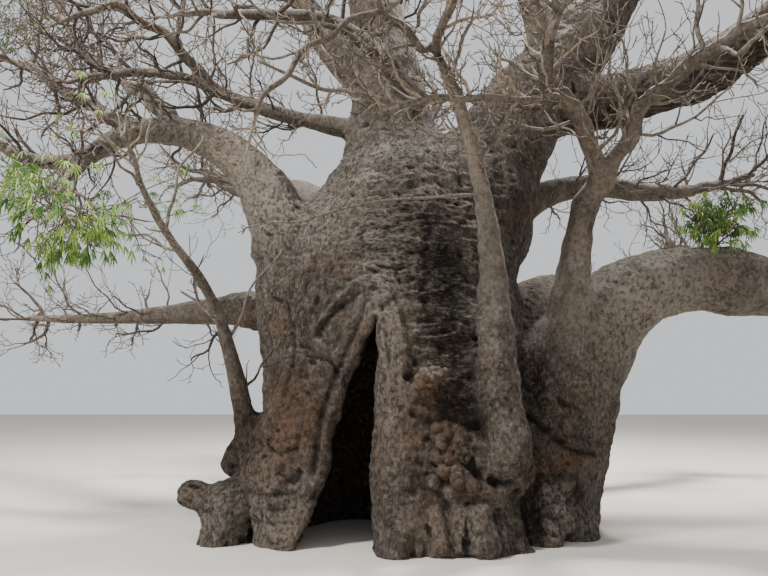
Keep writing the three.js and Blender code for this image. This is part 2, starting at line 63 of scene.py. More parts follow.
# root or (bearer, share), headings, climbs, length, radii, the share fused to the trunk, and the radius of
# the space that its twigs fill
BOUGHS = {
    "left_bough": ((-1.48, -0.21, 2.70), (223, 200, 192, 188, 206, 204), (71, 74, 47, 6, -48, 27),
                   5.40, (0.59, 0.47, 0.28, 0.20, 0.115, 0.07), 0.22, 1.50),
    "left_low_bough": ((-1.40, 0.30, 2.65), (165, 156, 163, 164), (18, 0, -1, 2),
                       4.70, (0.42, 0.22, 0.11, 0.07), 0.24, 1.35),
    "left_thin_stem": ((-1.78, -0.88, 0.56), (208, 250, 236, 222, 248), (60, 68, 66, 44, 54),
                       3.83, (0.23, 0.12, 0.075, 0.05, 0.032), 0.20, 0.80),
    "centre_stem": ((-0.29, 0.10, 3.53), (75, 101, 170, 150), (86, 88, 77, 81),
                    5.72, (1.22, 0.89, 0.65, 0.54, 0.42, 0.33, 0.23), 0.22, 1.75),
    "right_rear_bough": ((0.87, 0.30, 4.03), (23, 15, 20), (73, 49, 59),
                         5.90, (0.90, 0.74, 0.62, 0.54, 0.43), 0.26, 0),
    "front_stem": ((0.91, -1.55, 0.90), (249, 257, 207, 218), (74, 84, 78, 56),
                   4.67, (0.275, 0.22, 0.16, 0.107, 0.08, 0.055), 0.30, 0),
    "right_stem": ((1.43, -0.95, 1.20), (314, 325, 322, 320), (78, 68, 78, 77),
                   2.69, (0.36, 0.208, 0.165), 0.30, 0),
    "arch_bough": ((1.45, -0.42, 0.45), (342, 341, 343, 349, 347), (69, 70, 60, 20, -10),
                   4.00, (0.80, 0.72, 0.61, 0.45, 0.37), 0.43, 0),
    "right_mid_bough": ((1.00, 0.95, 3.95), (11, 4, -5, 3), (47, 27, -14, 16),
                        4.15, (0.42, 0.23, 0.17, 0.09), 0.20, 1.45),
    "back_left_bough": ((-0.85, 0.90, 3.15), (128, 118, 132, 140), (62, 40, 12, 30),
                        6.30, (0.62, 0.40, 0.26, 0.16), 0.18, 1.70),
    "back_bough": ((0.15, 1.00, 3.50), (80, 96, 84, 70), (72, 44, 28, 46),
                   6.20, (0.64, 0.43, 0.28, 0.17), 0.18, 1.70),
    "back_right_bough": ((1.15, 0.85, 2.30), (46, 38, 30, 36), (44, 16, 4, 30),
                         6.00, (0.60, 0.38, 0.24, 0.15), 0.20, 1.60),
    "left_upper_bough": (("left_bough", 0.69), (174, 167, 168), (23, 35, 30),
                         2.46, (0.105, 0.072, 0.048), 0, 1.25),
    "left_top_bough": (("left_bough", 0.60), (157, 157, 150, 142), (51, 32, 41, 57),
                       4.09, (0.135, 0.082, 0.055), 0, 1.50),
    "left_drop_bough": (("left_bough", 0.83), (240, 281, 288), (-46, -47, -43),
                        1.18, (0.072, 0.056, 0.042), 0, 0.90),
    "centre_left_bough": (("centre_stem", 0.33), (195, 198, 198, 203), (7, 4, 20, -25),
                          4.02, (0.205, 0.11, 0.075, 0.055), 0, 0.90),
    "centre_left_fork": (("centre_left_bough", 0.65), (209, 226, 224, 237), (40, 31, 12, -40),
                         1.98, (0.075, 0.06, 0.045), 0, 0.90),
    "centre_left_top": (("centre_stem", 0.46), (193, 198, 175), (26, 55, 74),
                        3.08, (0.38, 0.20, 0.12), 0, 1.60),
    "centre_back_bough": (("centre_stem", 0.62), (70, 84, 72), (40, 52, 66),
                          2.70, (0.26, 0.18, 0.12), 0, 1.50),
    "overhead_limb": (("centre_stem", 0.52), (253, 239, 232, 232), (8, -7, -27, -28),
                      3.59, (0.17, 0.10, 0.07, 0.05), 0, 0.90),
    "right_rear_fork": (("right_rear_bough", 0.54), (217, 206, 216), (70, 70, 89),
                        2.15, (0.33, 0.20, 0.15), 0, 1.40),
    "right_rear_outer": (("right_rear_bough", 1), (20, 4, 8), (59, 42, 52),
                         2.10, (0.43, 0.28, 0.16), 0, 1.50),
    "right_rear_inner": (("right_rear_bough", 0.84), (110, 84, 70), (30, 62, 76),
                         2.50, (0.30, 0.21, 0.14), 0, 1.50),
    "torn_bough": (("right_rear_bough", 0.42), (3, -26, -47), (-5, 10, 41),
                   4.20, (0.44, 0.42, 0.40, 0.35, 0.24), 0, 1.50),
    "front_stem_left": (("front_stem", 1), (218, 231, 250), (-24, 8, 18),
                        1.11, (0.054, 0.046, 0.036), 0, 0.80),
    "front_stem_right": (("front_stem", 0.98), (264, 284, 294), (36, 16, 7),
                         0.98, (0.052, 0.044, 0.034), 0, 0.80),
    "hanging_limb": (("front_stem_left", 0.88), (212, 203, 199), (-33, -48, -65),
                     1.89, (0.033, 0.028, 0.022), 0, 0.60),
    "right_stem_left": (("right_stem", 0.96), (-14, -120, -156, -78), (69, 52, 23, 79),
                        2.38, (0.125, 0.095, 0.065), 0, 0.90),
    "right_stem_right": (("right_stem", 1), (-17, -53, -40, -47), (51, 59, 23, 10),
                         2.91, (0.118, 0.088, 0.065), 0, 1.25),
    "arch_bough_outer": (("arch_bough", 1), (-13, -21, -18, -23), (-16, -15, 27, 45),
                         2.35, (0.37, 0.26, 0.15), 0, 1.50),
}


def evenly(values, share):
    """The value at a share from 0 to 1 along an evenly spaced list, straight between its numbers."""
    return np.interp(share, np.linspace(0, 1, len(values)), values)


def towards(heading, climb):
    """The unit vector of a heading and a climb in degrees."""
    heading, climb = np.radians(heading), np.radians(climb)
    flat = np.cos(climb)
    return np.stack([np.cos(heading) * flat, np.sin(heading) * flat, np.sin(climb)], -1)


class Limb:
    """A centre line through evenly spaced points, and a radius at each. Only its stout steps are part of
    the trunk's body; the rest is slimmer than that body's grid can show."""

    def __init__(self, points, radii, long, twigs=0.0):
        self.points, self.long, self.twigs = points, long, twigs
        self.steps = len(points) - 1
        self.thick = evenly(radii, np.linspace(0, 1, len(points)))
        self.stout = min(self.steps, int((self.thick > SLIM_LIMB).sum()))

    def where(self, share):
        """The centre line's point at a share of its length, straight on past the end."""
        place = np.asarray(share, float) * self.steps
        low = np.clip(np.floor(place).astype(int), 0, self.steps - 1)
        part = (place - low)[..., None]
        return self.points[low] * (1 - part) + self.points[low + 1] * part

    def radius(self, share):
        return evenly(self.thick, share)

    def beside(self, points, margin):
        """The numbers of the points in the box round the limb, which is wider than it by a margin."""
        wide = self.thick.max() + margin
        box = (points > self.points.min(0) - wide) & (points < self.points.max(0) + wide)
        return np.nonzero(box.all(1))[0]


def grown(root, heading, climb, long, waver):
    """The points of a bough: the running sum of even steps along its headings and climbs, which waver by
    two sines along the slim ones."""
    middles = (np.arange(LIMB_STEPS) + 0.5) / LIMB_STEPS
    heading = evenly(heading, middles) + waver * np.sin(middles * long * 7.1 + 5 * long)
    climb = evenly(climb, middles) + waver * np.sin(middles * long * 9.7 + 3 * long)
    steps = towards(heading, climb) * long / LIMB_STEPS
    return np.vstack([root, np.asarray(root) + np.cumsum(steps, 0)])


limbs = {}
for name, (root, heading, climb, long, radii, collar, twigs) in BOUGHS.items():
    root = limbs[root[0]].where(root[1]) if isinstance(root[0], str) else root
    waver = SLIM_BOUGH_WAVER if radii[0] < SLIM_BOUGH_ROOT else 0
    limbs[name] = Limb(grown(root, heading, climb, long, waver), radii, long, twigs)

# ---------------------------------------------------------------------------------------------------------
# How twigs branch. Crooked soft-wooded twigs grow on from each bough's tip, every one leaving its parent by
# the same rule, in a round space of their own. The stout first ones have bark like the boughs'.
# ---------------------------------------------------------------------------------------------------------

SEAT_GAP = 0.0003
STEM_SHARE = 0.62
HEART_SHARE = 0.55
# the shares of a parent at which its twigs leave it, level by level
TWIG_SHARES = (
    (),
    (0.34, 0.507, 0.673, 0.84, 0.25, 0.93),
    (0.34, 0.84, 0.20, 0.58, 0.96),
    (0.26, 0.44, 0.61, 0.78, 0.95),
    (0.34, 0.62, 0.88),
)
TWIG_LONG = (1, 1.1, 0.66, 0.66, 0.30)
TWIG_LEAN = (0, 46, 48, 40, 50)
TWIG_THICK = 0.56
TWIG_TAPER = 0.45
TWIG_KINK = 0.1
TWIG_RISE = 0.22
TWIG_CROOK = (0.0, 0.016, 0.022, 0.022, 0.015)
TWIG_LEAST = 0.0055
GOLDEN_TURN = 137.5
TWIG_CLEAR = 0.025
SPACE_MARGIN = 0.04
LOWEST_TWIG = 1.7
# how full the twigs of some limbs are, where fewer than all have lasted
FULLNESS = {"left_thin_stem": 0.35, "hanging_limb": 0.35, "left_low_bough": 0.8, "overhead_limb": 0.75}
# the small shoot on the arch: its bearer and share, heading, climb, radius and the radius of its space
SHOOT = ("arch_bough", 0.95, 300, 78, 0.024, 0.45)


def chance(mass, twig, use):
    """A repeatable number from 0 to 1: the part after the point of a large multiple of a sine."""
    wave = np.sin(mass * 12.9898 + twig * 78.233 + use * 37.719) * 43758.5453
    return wave - np.floor(wave)


def turned(vectors, axes, degrees):
    """Vectors turned about unit axes: the part along the axis stays, the rest goes round."""
    angle = np.radians(degrees)[:, None]
    along = (vectors * axes).sum(1)[:, None] * axes
    return along + (vectors - along) * np.cos(angle) + np.cross(axes, vectors) * np.sin(angle)


def unit(vectors):
    return vectors / np.linalg.norm(vectors, axis=-1, keepdims=True)


class Twigs:
    """Many twigs of one level. Each runs from its root along its direction, bends up with the square of the
    share, bows to one side, and wavers by two sines that start from nothing."""

    def __init__(self, level, mass, number, root, ahead, long, thick, kink):
        self.level, self.mass, self.number = level, mass, number
        self.root, self.ahead, self.long, self.thick = root, unit(ahead), long, thick
        self.side = turned(unit(np.cross((0, 0, 1), self.ahead)), self.ahead, kink)

    def where(self, share):
        s = np.asarray(share, float)[None, :, None]
        long = self.long[:, None, None]
        points = self.root[:, None] + self.ahead[:, None] * long * s
        points = points + self.side[:, None] * long * TWIG_KINK * (1 - np.cos(2 * np.pi * s)) / 2
        if self.level:
            points[:, :, 2:] += TWIG_RISE * long * s * s
        across = np.cross(self.ahead, self.side)[:, None]
        for use, turns, way in ((5, 1.7, self.side[:, None]), (6, 2.3, across)):
            start = 2 * np.pi * chance(self.mass, self.number, use)[:, None, None]
            wave = np.sin(start + 2 * np.pi * turns * s) - np.sin(start)
            points = points + way * long * TWIG_CROOK[self.level] * wave * np.minimum(s * 4, 1)
        return points

    def radius(self, share):
        taper = 1 + (TWIG_TAPER - 1) * np.asarray(share, float)
        return np.maximum(self.thick[:, None] * taper, TWIG_LEAST)

    def only(self, kept):
        """The same twigs, without those that aren't kept."""
        return grouped(self.level, [getattr(self, fact)[kept] for fact in TWIG_FACTS])

    def branches(self):
        """The twigs that leave these, turned on round their parent by the golden angle and leaning away."""
        level = self.level + 1
        made = []
        for place, share in enumerate(TWIG_SHARES[level]):
            number = self.number * 8 + place + 1

            def pick(use):
                return chance(self.mass, number, use)

            lean = TWIG_LEAN[level] * (0.75 + 0.5 * pick(1))
            spin = GOLDEN_TURN * number + 60 * pick(2)
            long = self.long * TWIG_LONG[level] * (0.8 + 0.35 * pick(3))
            ahead = turned(turned(self.ahead, self.side, lean), self.ahead, spin)
            thick = self.thick * (1 + (TWIG_TAPER - 1) * share) * TWIG_THICK
            root = self.where([share])[:, 0]
            made.append(Twigs(level, self.mass, number, root, ahead, long, thick, 360 * pick(4)))
        return joined_twigs(made)


TWIG_FACTS = ("mass", "number", "root", "ahead", "long", "thick", "side")


def grouped(level, facts):
    """A group of twigs of one level, from an array for each of their facts."""
    group = Twigs.__new__(Twigs)
    group.level = level
    group.__dict__.update(zip(TWIG_FACTS, facts))
    return group


def joined_twigs(groups):
    """Groups of twigs of one level as one group."""
    facts = [np.concatenate([getattr(group, fact) for group in groups]) for fact in TWIG_FACTS]
    return grouped(groups[0].level, facts)


bearers = [name for name, limb in limbs.items() if limb.twigs]
tips = np.array([limbs[name].where(1) for name in bearers])
aheads = unit(tips - np.array([limbs[name].where(0.98) for name in bearers]))
spaces = np.array([limbs[name].twigs for name in bearers])
thicks = np.array([limbs[name].radius(1) for name in bearers])
mass_nodes = [name + "_twigs" for name in bearers] + ["arch_shoot"]
shoot_bearer, shoot_share, shoot_heading, shoot_climb, shoot_thick, shoot_space = SHOOT
shoot_ahead = towards(shoot_heading, shoot_climb)
shoot_bark = limbs[shoot_bearer].radius(shoot_share)
shoot_root = limbs[shoot_bearer].where(shoot_share) + shoot_ahead * shoot_bark * 0.9
roots = np.vstack([tips + aheads * SEAT_GAP, shoot_root])
aheads, spaces = np.vstack([aheads, shoot_ahead]), np.append(spaces, shoot_space)
thicks = np.append(thicks, shoot_thick)
hearts = np.vstack([tips, shoot_root]) + aheads * spaces[:, None] * HEART_SHARE
ones = np.ones(len(roots))
stems = Twigs(0, np.arange(len(roots)) * 1.0, ones, roots, aheads, spaces * STEM_SHARE, thicks, 0 * ones)


def in_space(twigs, points):
    """Whether a point of each twig lies in its mass's round space, nearer to that heart than to any other
    by their sizes, and not too low."""
    from_all = np.linalg.norm(points[:, None] - hearts, axis=2) / spaces
    own_number = twigs.mass.astype(int)
    own = from_all[np.arange(len(points)), own_number]
    from_all[np.arange(len(points)), own_number] = 9
    return (own < 1) & (points[:, 2] > LOWEST_TWIG) & (from_all.min(1) > own + SPACE_MARGIN)


def line_gap(points, a, b):
    """How far points lie from a straight line between two ends."""
    share = np.clip(((points - a) @ (b - a)) / ((b - a) @ (b - a)), 0, 1)
    return np.linalg.norm(points - a - share[:, None] * (b - a), axis=1)


def clear_of_limbs(points, radius):
    """Whether points with a radius stand clear of every limb, tried against short stretches of each."""
    clear = np.ones(len(points), bool)
    for name in BOUGHS:
        limb = limbs[name]
        stretch = limb.steps // 12
        rows = limb.beside(points, 0.1)
        for start in range(0, limb.steps, stretch):
            gap = line_gap(points[rows], limb.points[start], limb.points[start + stretch])
            clear[rows] &= gap > limb.thick[start] + radius[rows] + TWIG_CLEAR
    return clear


solid_low, solid_high = np.array(solid_box[0]), np.array(solid_box[1])
REACH = (solid_low - 0.015 * (solid_high - solid_low), solid_high + 0.015 * (solid_high - solid_low))


def fitting(twigs, spaced=True):
    """Those of the twigs whose middles and tips keep to their space and touch no limb."""
    full = np.array([FULLNESS.get(name, 1.0) for name in bearers] + [1.0])[twigs.mass.astype(int)]
    kept = chance(twigs.mass, twigs.number, 13) < np.where(twigs.level > 1, full, 1)
    for share in (0.5, 1):
        points, radius = twigs.where([share])[:, 0], twigs.radius([share])[:, 0]
        kept &= clear_of_limbs(points, radius)
        kept &= ((points > REACH[0]) & (points < REACH[1])).all(1)
        kept &= in_space(twigs, points) if spaced else (points[:, 2] > LOWEST_TWIG)
    return twigs.only(kept)


first_twigs = fitting(stems.branches())
STOUT_TWIG = 0.075
for twigs in (stems, first_twigs):
    paths = twigs.where(np.linspace(0, 1, 11))
    for i in np.nonzero(twigs.thick > STOUT_TWIG)[0]:
        begins = paths[i][0] - 0.5 * (paths[i][1] - paths[i][0])
        path = np.vstack([begins, paths[i][1:]]) if twigs.level == 0 else paths[i]
        radii = (twigs.thick[i], twigs.thick[i] * TWIG_TAPER)
        limbs[f"{mass_nodes[int(twigs.mass[i])]}_{int(twigs.number[i])}"] = Limb(path, radii, twigs.long[i])

# ---------------------------------------------------------------------------------------------------------
# The trunk. One fluted body of soft wet wood under a thick folded bark, hollow inside, on a flared foot of
# lobes and toes. The stems' feet, a root stub and a torn branch stub have grown into it.
# ---------------------------------------------------------------------------------------------------------

TRUNK_TALL = 5.25
TRUNK_RADIUS = (1.93, 1.92, 1.86, 1.80, 1.71, 1.52, 1.20, 0.65)
TRUNK_DRIFT = (0, 0.05, 0, -0.11, -0.25, -0.18, -0.02, 0.26)
TRUNK_DEPTH = 0.93
FLARE_OUT = 0.17
FLARE_TALL = 0.33

# where a flute faces, its width in degrees, how far it stands out, how high it goes
FLUTES = (
    (180, 17, 0.19, 3.9), (204, 10, 0.36, 1.1), (228, 12, 0.30, 1.9), (247, 8, -0.12, 2.6),
    (262, 8, 0.17, 2.4), (277, 5, 0.12, 0.7), (289, 6, 0.15, 0.65), (301, 9, 0.13, 1.7),
    (314, 6, -0.19, 2.6), (327, 9, 0.11, 1.5), (343, 15, 0.18, 1.5), (8, 10, 0.19, 1.1),
    (38, 14, 0.23, 2.3), (56, 7, -0.09, 1.8), (76, 12, 0.16, 3.0), (98, 7, -0.08, 1.5),
    (118, 12, 0.25, 2.4), (150, 11, 0.17, 1.3),
)

# the doorway's two edges, as x at rising heights, and the room behind it
DOOR_HEIGHTS = (0, 0.1, 0.52, 0.81, 1.12, 1.44, 1.87, 2.44, 3.0)
DOOR_LEFT = (-1.32, -1.30, -1.11, -0.98, -0.93, -0.90, -0.775, -0.50, -0.20)
DOOR_RIGHT = (-0.52, -0.52, -0.54, -0.55, -0.54, -0.51, -0.48, -0.48, -0.78)
HOLLOW_AT = (-0.75, -0.75, 0.4)
HOLLOW_SIZE = (0.62, 0.75, 1.9)
DOOR_RIM = 0.11

# the bark's mesh comes from a grid in blocks of cells, finer in front and low down than at the back
CELL_FINE = 0.022
CELL_COARSE = 0.045
BLOCK = 8


def smoothly(values, share):
    """The value at a share along an evenly spaced list, on a curve: the straight-line values, blurred."""
    fine = np.linspace(0, 1, 401)
    straight = np.pad(evenly(values, fine), 40, mode="reflect", reflect_type="odd")
    window = np.hanning(81)
    curve = np.convolve(straight, window / window.sum(), "valid")
    return np.interp(share, fine, curve)


def trunk_reach(turn, height):
    """How far the trunk's bark stands from its heart: a radius by height, an oval by turn, a flare that
    fades with height, and for each flute a bump by turn times a fade by height."""
    oval = np.hypot(np.cos(np.radians(turn)), np.sin(np.radians(turn)) * TRUNK_DEPTH)
    reach = smoothly(TRUNK_RADIUS, height / TRUNK_TALL) * oval + FLARE_OUT * np.exp(-height / FLARE_TALL)
    for heading, wide, out, high in FLUTES:
        away = (turn - heading + 540) % 360 - 180
        reach += out * np.exp(-((away / wide) ** 2) - (height / high) ** 2)
    return reach


def join(a, b, k):
    """Two distances as one body, with a fillet of size k where they meet."""
    mixed = np.clip(0.5 + 0.5 * (b - a) / k, 0, 1)
    return b + (a - b) * mixed - k * mixed * (1 - mixed)


def cut(a, b, k):
    """The part of body a that lies outside body b, with an edge rounded by k."""
    return -join(-a, b, k)


def trunk_distance(x, y, z):
    """How far a point stands outside the trunk: its distance from the heart less the reach, capped."""
    heart = smoothly(TRUNK_DRIFT, z / TRUNK_TALL)
    turn = np.degrees(np.arctan2(y, x - heart)) % 360
    side = (np.hypot(x - heart, y) - trunk_reach(turn, z)) * 0.9
    return -join(-side, -(z - TRUNK_TALL + 0.1), 0.5)


def doorway_distance(x, y, z):
    """How far a point stands outside the doorway and the room: a slot between edges, and a long ball."""
    left, right = np.interp(z, DOOR_HEIGHTS, DOOR_LEFT), np.interp(z, DOOR_HEIGHTS, DOOR_RIGHT)
    slot = np.abs(x - (left + right) / 2) - (right - left) / 2
    slot = np.maximum(slot * 0.95, y + 0.5)
    away = [(c - at) / size for c, at, size in zip((x, y, z), HOLLOW_AT, HOLLOW_SIZE)]
    room = (np.sqrt(away[0] ** 2 + away[1] ** 2 + away[2] ** 2) - 1) * 0.6
    return join(slot, room, 0.12)


def rounded(points_a, points_b, radius_a, radius_b, x, y, z):
    """Distance to a tapering round bar: to the nearest point of its middle line, less the radius there."""
    line = points_b - points_a
    share = (x - points_a[0]) * line[0] + (y - points_a[1]) * line[1] + (z - points_a[2]) * line[2]
    share = np.clip(share / (line @ line), 0, 1)
    gap = np.sqrt((x - points_a[0] - share * line[0]) ** 2 + (y - points_a[1] - share * line[1]) ** 2
                  + (z - points_a[2] - share * line[2]) ** 2)
    return gap - radius_a - share * (radius_b - radius_a), share


# growths sunk in the foot: two ends of a bar, its radius at each, and how softly it blends in
LOBES = (
    # the root stub on the left: its foot, the elbow over the ground, and its way back into the trunk
    ((-2.20, -1.32, -0.2), (-2.18, -1.30, 0.34), 0.31, 0.27, 0.08),
    ((-2.24, -1.31, 0.40), (-2.58, -1.34, 0.51), 0.22, 0.17, 0.09),
    ((-2.15, -1.22, 0.38), (-1.75, -0.95, 0.60), 0.22, 0.28, 0.16),
    # the lump under the thin stem, and the pillar left of the doorway with the lobe that it carries
    ((-2.20, -0.98, 0.78), (-2.12, -0.92, 1.08), 0.13, 0.11, 0.08),
    ((-1.60, -1.40, -0.2), (-1.58, -1.32, 0.62), 0.24, 0.29, 0.10),
    ((-1.55, -1.16, 0.80), (-1.34, -1.12, 1.70), 0.40, 0.38, 0.25),
    ((-1.53, -1.56, 0.88), (-1.55, -1.64, 0.84), 0.060, 0.05, 0.02),
    ((-1.20, -1.40, 1.06), (-1.24, -1.44, 0.62), 0.17, 0.14, 0.05),
    ((-1.42, -1.46, 1.20), (-1.40, -1.48, 1.14), 0.10, 0.10, 0.05),
    ((-1.28, -1.42, 1.62), (-1.22, -1.44, 1.50), 0.09, 0.10, 0.04),
    ((-1.68, -1.40, 1.30), (-1.70, -1.42, 1.18), 0.10, 0.09, 0.05),
    # the smooth column right of the doorway, and a knob on its foot
    ((-0.25, -1.80, -0.2), (-0.27, -1.54, 1.20), 0.25, 0.21, 0.08),
    ((-0.27, -1.54, 1.20), (-0.30, -1.42, 2.40), 0.21, 0.17, 0.12),
    ((-0.25, -2.04, 0.06), (-0.24, -2.04, 0.13), 0.085, 0.08, 0.03),
    ((-0.04, -1.93, -0.1), (-0.05, -1.84, 0.62), 0.075, 0.055, 0.04),
    # the toes, of which the middle two hang short of the ground
    ((0.19, -2.02, 0.10), (0.13, -1.92, 0.40), 0.100, 0.10, 0.03),
    ((0.38, -2.02, 0.11), (0.36, -1.92, 0.38), 0.085, 0.12, 0.03),
    ((0.59, -1.97, 0.10), (0.57, -1.88, 0.34), 0.190, 0.17, 0.04),
    ((0.81, -1.92, -0.05), (0.80, -1.84, 0.30), 0.070, 0.06, 0.03),
    # the swelling under the front stem, round like an elbow
    ((0.88, -1.64, 1.20), (0.87, -1.68, 0.94), 0.26, 0.26, 0.20),
    ((0.98, -1.66, 1.05), (1.00, -1.64, 0.90), 0.22, 0.22, 0.16),
    # the pale burl on the right, and the foot beyond it
    ((1.46, -1.32, 0.30), (1.44, -1.34, 0.48), 0.19, 0.16, 0.05),
    ((1.38, -1.40, 0.06), (1.44, -1.38, 0.14), 0.17, 0.16, 0.04),
    ((1.36, -1.44, 0.56), (1.40, -1.44, 0.52), 0.09, 0.08, 0.03),
    ((1.50, -1.48, 0.42), (1.46, -1.49, 0.38), 0.08, 0.08, 0.03),
    ((1.56, -1.44, 0.24), (1.58, -1.42, 0.20), 0.09, 0.09, 0.03),
    ((1.36, -1.54, 0.24), (1.40, -1.54, 0.20), 0.07, 0.07, 0.03),
    ((1.60, -1.34, 0.58), (1.68, -1.30, 0.62), 0.10, 0.09, 0.05),
    ((1.84, -1.08, -0.1), (1.76, -1.02, 0.40), 0.25, 0.21, 0.06),
    # the hollow under the swelling, grown nearly shut
    ((0.60, -1.68, 0.78), (1.02, -1.62, 0.70), 0.15, 0.16, 0.10),
    # knobs over the toes, and three that hang like drops
    ((0.15, -1.844, 1.29), (0.16, -1.844, 1.26), 0.060, 0.060, 0.034),
    ((0.27, -1.834, 1.27), (0.27, -1.834, 1.24), 0.060, 0.060, 0.034),
    ((0.40, -1.814, 1.24), (0.42, -1.824, 1.18), 0.070, 0.070, 0.044),
    ((0.56, -1.794, 1.17), (0.59, -1.804, 1.10), 0.075, 0.070, 0.054),
    ((0.20, -1.854, 1.13), (0.21, -1.864, 1.10), 0.060, 0.060, 0.034),
    ((0.34, -1.844, 1.11), (0.35, -1.854, 1.07), 0.060, 0.060, 0.034),
    ((0.47, -1.834, 1.05), (0.48, -1.844, 1.01), 0.055, 0.060, 0.034),
    ((0.14, -1.874, 0.98), (0.15, -1.884, 0.95), 0.055, 0.055, 0.034),
    ((0.26, -1.864, 0.97), (0.27, -1.874, 0.94), 0.060, 0.060, 0.034),
    ((0.39, -1.864, 0.95), (0.40, -1.874, 0.91), 0.060, 0.060, 0.034),
    ((0.22, -1.894, 0.83), (0.23, -1.894, 0.79), 0.055, 0.055, 0.034),
    ((0.35, -1.894, 0.82), (0.36, -1.944, 0.72), 0.060, 0.080, 0.029),
    ((0.50, -1.894, 0.78), (0.51, -1.944, 0.68), 0.060, 0.080, 0.029),
    ((0.64, -1.884, 0.73), (0.66, -1.914, 0.65), 0.060, 0.070, 0.034),
    ((0.11, -1.904, 0.72), (0.11, -1.904, 0.68), 0.055, 0.055, 0.044),
    ((0.30, -1.894, 0.60), (0.31, -1.894, 0.56), 0.060, 0.060, 0.044),
    ((0.70, -1.80, 1.06), (0.72, -1.81, 1.00), 0.060, 0.06, 0.035),
    ((0.60, -1.83, 0.94), (0.62, -1.84, 0.88), 0.060, 0.06, 0.035),
    ((0.38, -1.64, 1.28), (0.40, -1.72, 0.78), 0.16, 0.16, 0.10),
    ((0.28, -1.82, 0.60), (0.75, -1.80, 0.54), 0.11, 0.11, 0.08),
    # the knobby joint under the right stem's fork, and burls on its crooked limb
    ((1.94, -1.50, 3.68), (1.98, -1.53, 3.77), 0.11, 0.10, 0.05),
    ((2.06, -1.42, 3.86), (2.04, -1.44, 3.90), 0.12, 0.12, 0.06),
    ((1.90, -1.95, 4.57), (1.86, -2.00, 4.62), 0.085, 0.08, 0.05),
    ((1.64, -2.12, 4.88), (1.60, -2.16, 4.91), 0.085, 0.08, 0.05),
    ((1.40, -2.28, 5.04), (1.38, -2.31, 5.08), 0.08, 0.075, 0.05),
    # the torn branch stub
    ((0.02, -1.56, 1.60), (0.06, -1.90, 1.74), 0.19, 0.13, 0.09),
    ((0.06, -1.90, 1.74), (0.12, -2.04, 1.79), 0.125, 0.11, 0.04),
    ((0.12, -2.00, 1.78), (0.25, -2.06, 1.84), 0.075, 0.045, 0.03),
)

# what time has opened: two ends, radii, and how soft its rim is
CLEFTS = (
    ((1.26, -1.42, 2.35), (1.32, -1.52, 1.35), 0.07, 0.09, 0.10),
    ((1.32, -1.52, 1.35), (1.14, -1.78, 0.75), 0.07, 0.05, 0.10),
    ((1.13, -1.64, 0.60), (1.15, -1.62, -0.05), 0.09, 0.12, 0.04),
    ((1.60, -1.46, 0.42), (1.96, -1.30, 0.44), 0.05, 0.06, 0.03),
    ((1.64, -1.34, -0.05), (1.62, -1.28, 0.50), 0.05, 0.05, 0.03),
    ((-1.89, -1.62, -0.1), (-1.88, -1.50, 0.36), 0.05, 0.03, 0.04),
    ((-0.105, -2.07, -0.1), (-0.10, -1.99, 0.50), 0.03, 0.02, 0.02),
    ((0.035, -2.04, -0.1), (0.02, -1.97, 0.42), 0.045, 0.03, 0.02),
    ((0.285, -2.09, 0.02), (0.22, -2.01, 0.40), 0.035, 0.02, 0.02),
    ((0.430, -2.12, -0.1), (0.425, -2.02, 0.34), 0.045, 0.02, 0.02),
    ((0.10, -2.11, -0.02), (0.44, -2.11, -0.02), 0.07, 0.07, 0.02),
)


def grid_lines(low, high, near, beyond):
    """Grid lines along one axis, close together along the near stretch and wider apart away from it: the
    spots where the running count of cells passes each whole number."""
    spots = np.linspace(low, high + 1, 8001)
    away = np.clip(np.maximum(near[0] - spots, spots - near[1]) / beyond, 0, 1)
    spacing = GRAIN * (CELL_FINE + (CELL_COARSE - CELL_FINE) * away * away * (3 - 2 * away))
    count = np.concatenate([[0], np.cumsum(np.diff(spots) / spacing[:-1])])
    cells = BLOCK * int(np.ceil(np.interp(high, spots, count) / BLOCK))
    return np.interp(np.arange(cells + 1), count, spots)


GRAIN = 1.0
stout_limbs = {name: limb for name, limb in limbs.items() if limb.stout}
body_low = np.min([limb.points.min(0) - limb.thick.max() for limb in limbs.values()], 0) - 0.1
body_high = np.max([limb.points.max(0) + limb.thick.max() for limb in limbs.values()], 0) + 0.1
LINES = (
    grid_lines(body_low[0], body_high[0], (-2.9, 2.8), 3.0),
    grid_lines(body_low[1], body_high[1], (-3.5, -0.2), 3.0),
    grid_lines(-0.5 * CELL_FINE * GRAIN, body_high[2], (0.0, 3.4), 5.0),
)


def fillet(limb):
    """How softly a limb flows into what bears it, from its radius at the root."""
    return 0.03 + 0.45 * min(limb.thick[0], 0.75)


# how far beyond its fillet a limb may still touch a block, and a distance that nothing reaches
LIMB_MARGIN = 0.12
FAR = 9.0


